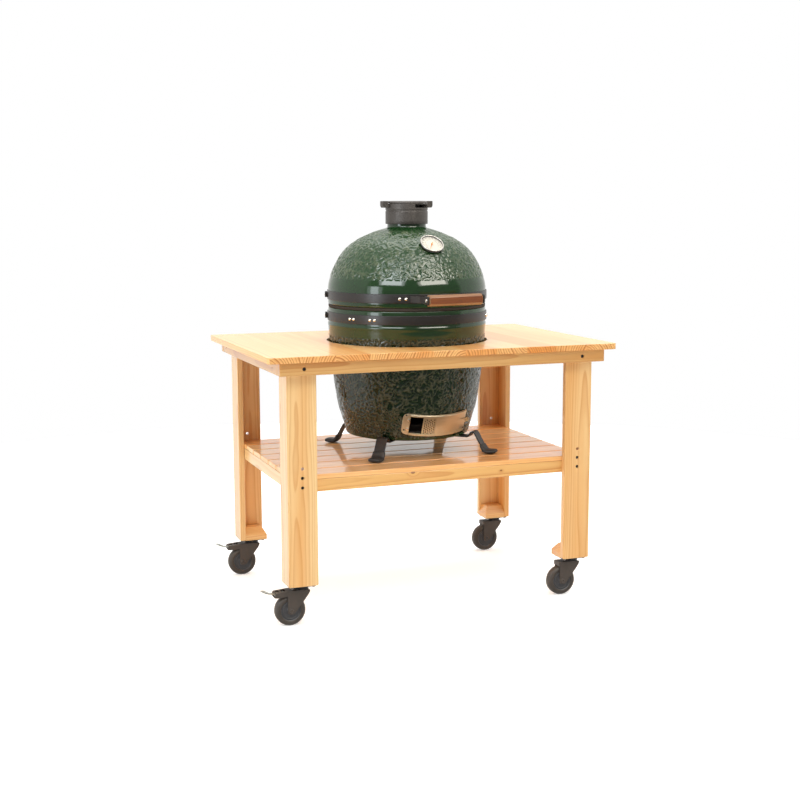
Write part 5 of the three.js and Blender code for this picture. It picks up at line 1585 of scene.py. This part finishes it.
# the studio is bright white behind and beside the object and dim in front of it
ahead = wn("VectorMath", operation="DOT_PRODUCT")
wl(tc.outputs["Generated"], ahead.inputs[0])
fa = rad(-9.5)
ahead.inputs[1].default_value = (math.sin(fa), -math.cos(fa), 0.0)
front = wn("MapRange", interpolation_type="SMOOTHSTEP")
wl(ahead.outputs["Value"], front.inputs[0])
front.inputs[1].default_value, front.inputs[2].default_value = 0.24, 0.36
front.inputs[3].default_value, front.inputs[4].default_value = 0.0, 1.0
level = wn("Mix", data_type="RGBA")
wl(front.outputs[0], level.inputs[0])
level.inputs[6].default_value = (1.0, 0.985, 0.965, 1)
# the dim side falls off towards the ground
low = wn("MapRange", interpolation_type="SMOOTHSTEP")
wl(sep.outputs[2], low.inputs[0])
low.inputs[1].default_value, low.inputs[2].default_value = -0.62, -0.12
low.inputs[3].default_value, low.inputs[4].default_value = 0.0, 1.0
dim = wn("Mix", data_type="RGBA")
wl(low.outputs[0], dim.inputs[0])
dim.inputs[6].default_value = (0.035, 0.033, 0.03, 1)
dim.inputs[7].default_value = (0.34, 0.335, 0.325, 1)
wl(dim.outputs[2], level.inputs[7])
lp = wn("LightPath")
cam_mix = wn("Mix", data_type="RGBA")
wl(lp.outputs["Is Camera Ray"], cam_mix.inputs[0])
wl(level.outputs[2], cam_mix.inputs[6])
cam_mix.inputs[7].default_value = (1.0, 1.0, 1.0, 1)
bg = wn("Background")
bg.inputs[1].default_value = 1.0
wl(cam_mix.outputs[2], bg.inputs[0])
wo = wn("OutputWorld")
wl(bg.outputs[0], wo.inputs[0])


def softbox(name, az, el, dist, w, h, radiance, col, role="both", aim=(0.0, 0.0, 0.95)):
    a, e = rad(az), rad(el)
    d = Vector((math.sin(a) * math.cos(e), -math.cos(a) * math.cos(e), math.sin(e)))
    lt = bpy.data.lights.new(name, "AREA")
    lt.shape = "RECTANGLE"
    lt.size, lt.size_y = w, h
    lt.energy = radiance * math.pi * w * h
    lt.color = col
    o = bpy.data.objects.new(name, lt)
    o.location = Vector(aim) + d * dist
    o.rotation_euler = d.to_track_quat("Z", "Y").to_euler()
    o.visible_camera = False
    o.visible_diffuse = role != "gloss"
    o.visible_glossy = role != "fill"
    sc.collection.objects.link(o)
    return o


# each mirrored softbox is a bright middle in a wider, weaker one, so its edge is soft
softbox("side_core", -66, 3, 3.1, 0.62, 1.6, 4.6, (0.86, 0.93, 1.0), "gloss")
softbox("side_wide", -66, 3, 3.15, 1.25, 1.64, 1.9, (0.90, 0.95, 1.0), "gloss")
softbox("left_core", -43, 31, 4.0, 1.9, 0.95, 6.5, (0.93, 0.97, 1.0), "gloss")
softbox("left_wide", -43, 31, 4.05, 2.5, 1.15, 3.5, (0.94, 0.97, 1.0), "gloss")
softbox("right_core", 20, 31, 4.0, 2.5, 1.0, 8.0, (1.0, 0.95, 0.86), "gloss")
softbox("right_wide", 20, 31, 4.05, 3.1, 1.2, 4.0, (1.0, 0.96, 0.88), "gloss")
softbox("high_gloss", 18, 54, 4.0, 2.8, 1.1, 6.6, (1.0, 0.97, 0.90), "gloss")
softbox("high_gloss_left", -40, 54, 4.0, 2.4, 1.0, 3.6, (0.95, 0.98, 1.0), "gloss")
softbox("fill_front", -12, 49, 4.2, 3.0, 2.0, 5.0, (1.0, 0.99, 0.97), "fill")
softbox("fill_top", 160, 76, 3.6, 2.6, 2.0, 6.1, (1.0, 0.975, 0.96), "fill")
softbox("fill_left", -84, 24, 3.8, 2.0, 1.6, 3.7, (0.97, 0.99, 1.0), "fill")
softbox("fill_right", 84, 24, 3.8, 2.0, 1.6, 3.7, (1.0, 0.98, 0.95), "fill")
softbox("top_gloss", 160, 72, 3.6, 2.6, 2.0, 2.2, (1.0, 1.0, 1.0), "gloss")

# ============================================================ camera
a, e, r = rad(-20.502), rad(8.334), rad(-0.148)
back = Vector((math.sin(a) * math.cos(e), -math.cos(a) * math.cos(e), math.sin(e)))
right0 = Vector((math.cos(a), math.sin(a), 0))
up0 = back.cross(right0).normalized()
right = math.cos(r) * right0 + math.sin(r) * up0
up = -math.sin(r) * right0 + math.cos(r) * up0
pos = (right0 * -20.015 + Vector((0, 0, 657.323)) + back * 4652.1 + Vector((5, 0, 0))) * MM
cam = bpy.data.cameras.new("camera")
cam.sensor_width = 36
cam.lens = 1330.108 / 800 * 36
cam.clip_start, cam.clip_end = 0.1, 60
co = bpy.data.objects.new("camera", cam)
Rm = Matrix((right, up, back)).transposed().to_4x4()
co.matrix_world = Matrix.Translation(pos) @ Rm
sc.collection.objects.link(co)
sc.camera = co
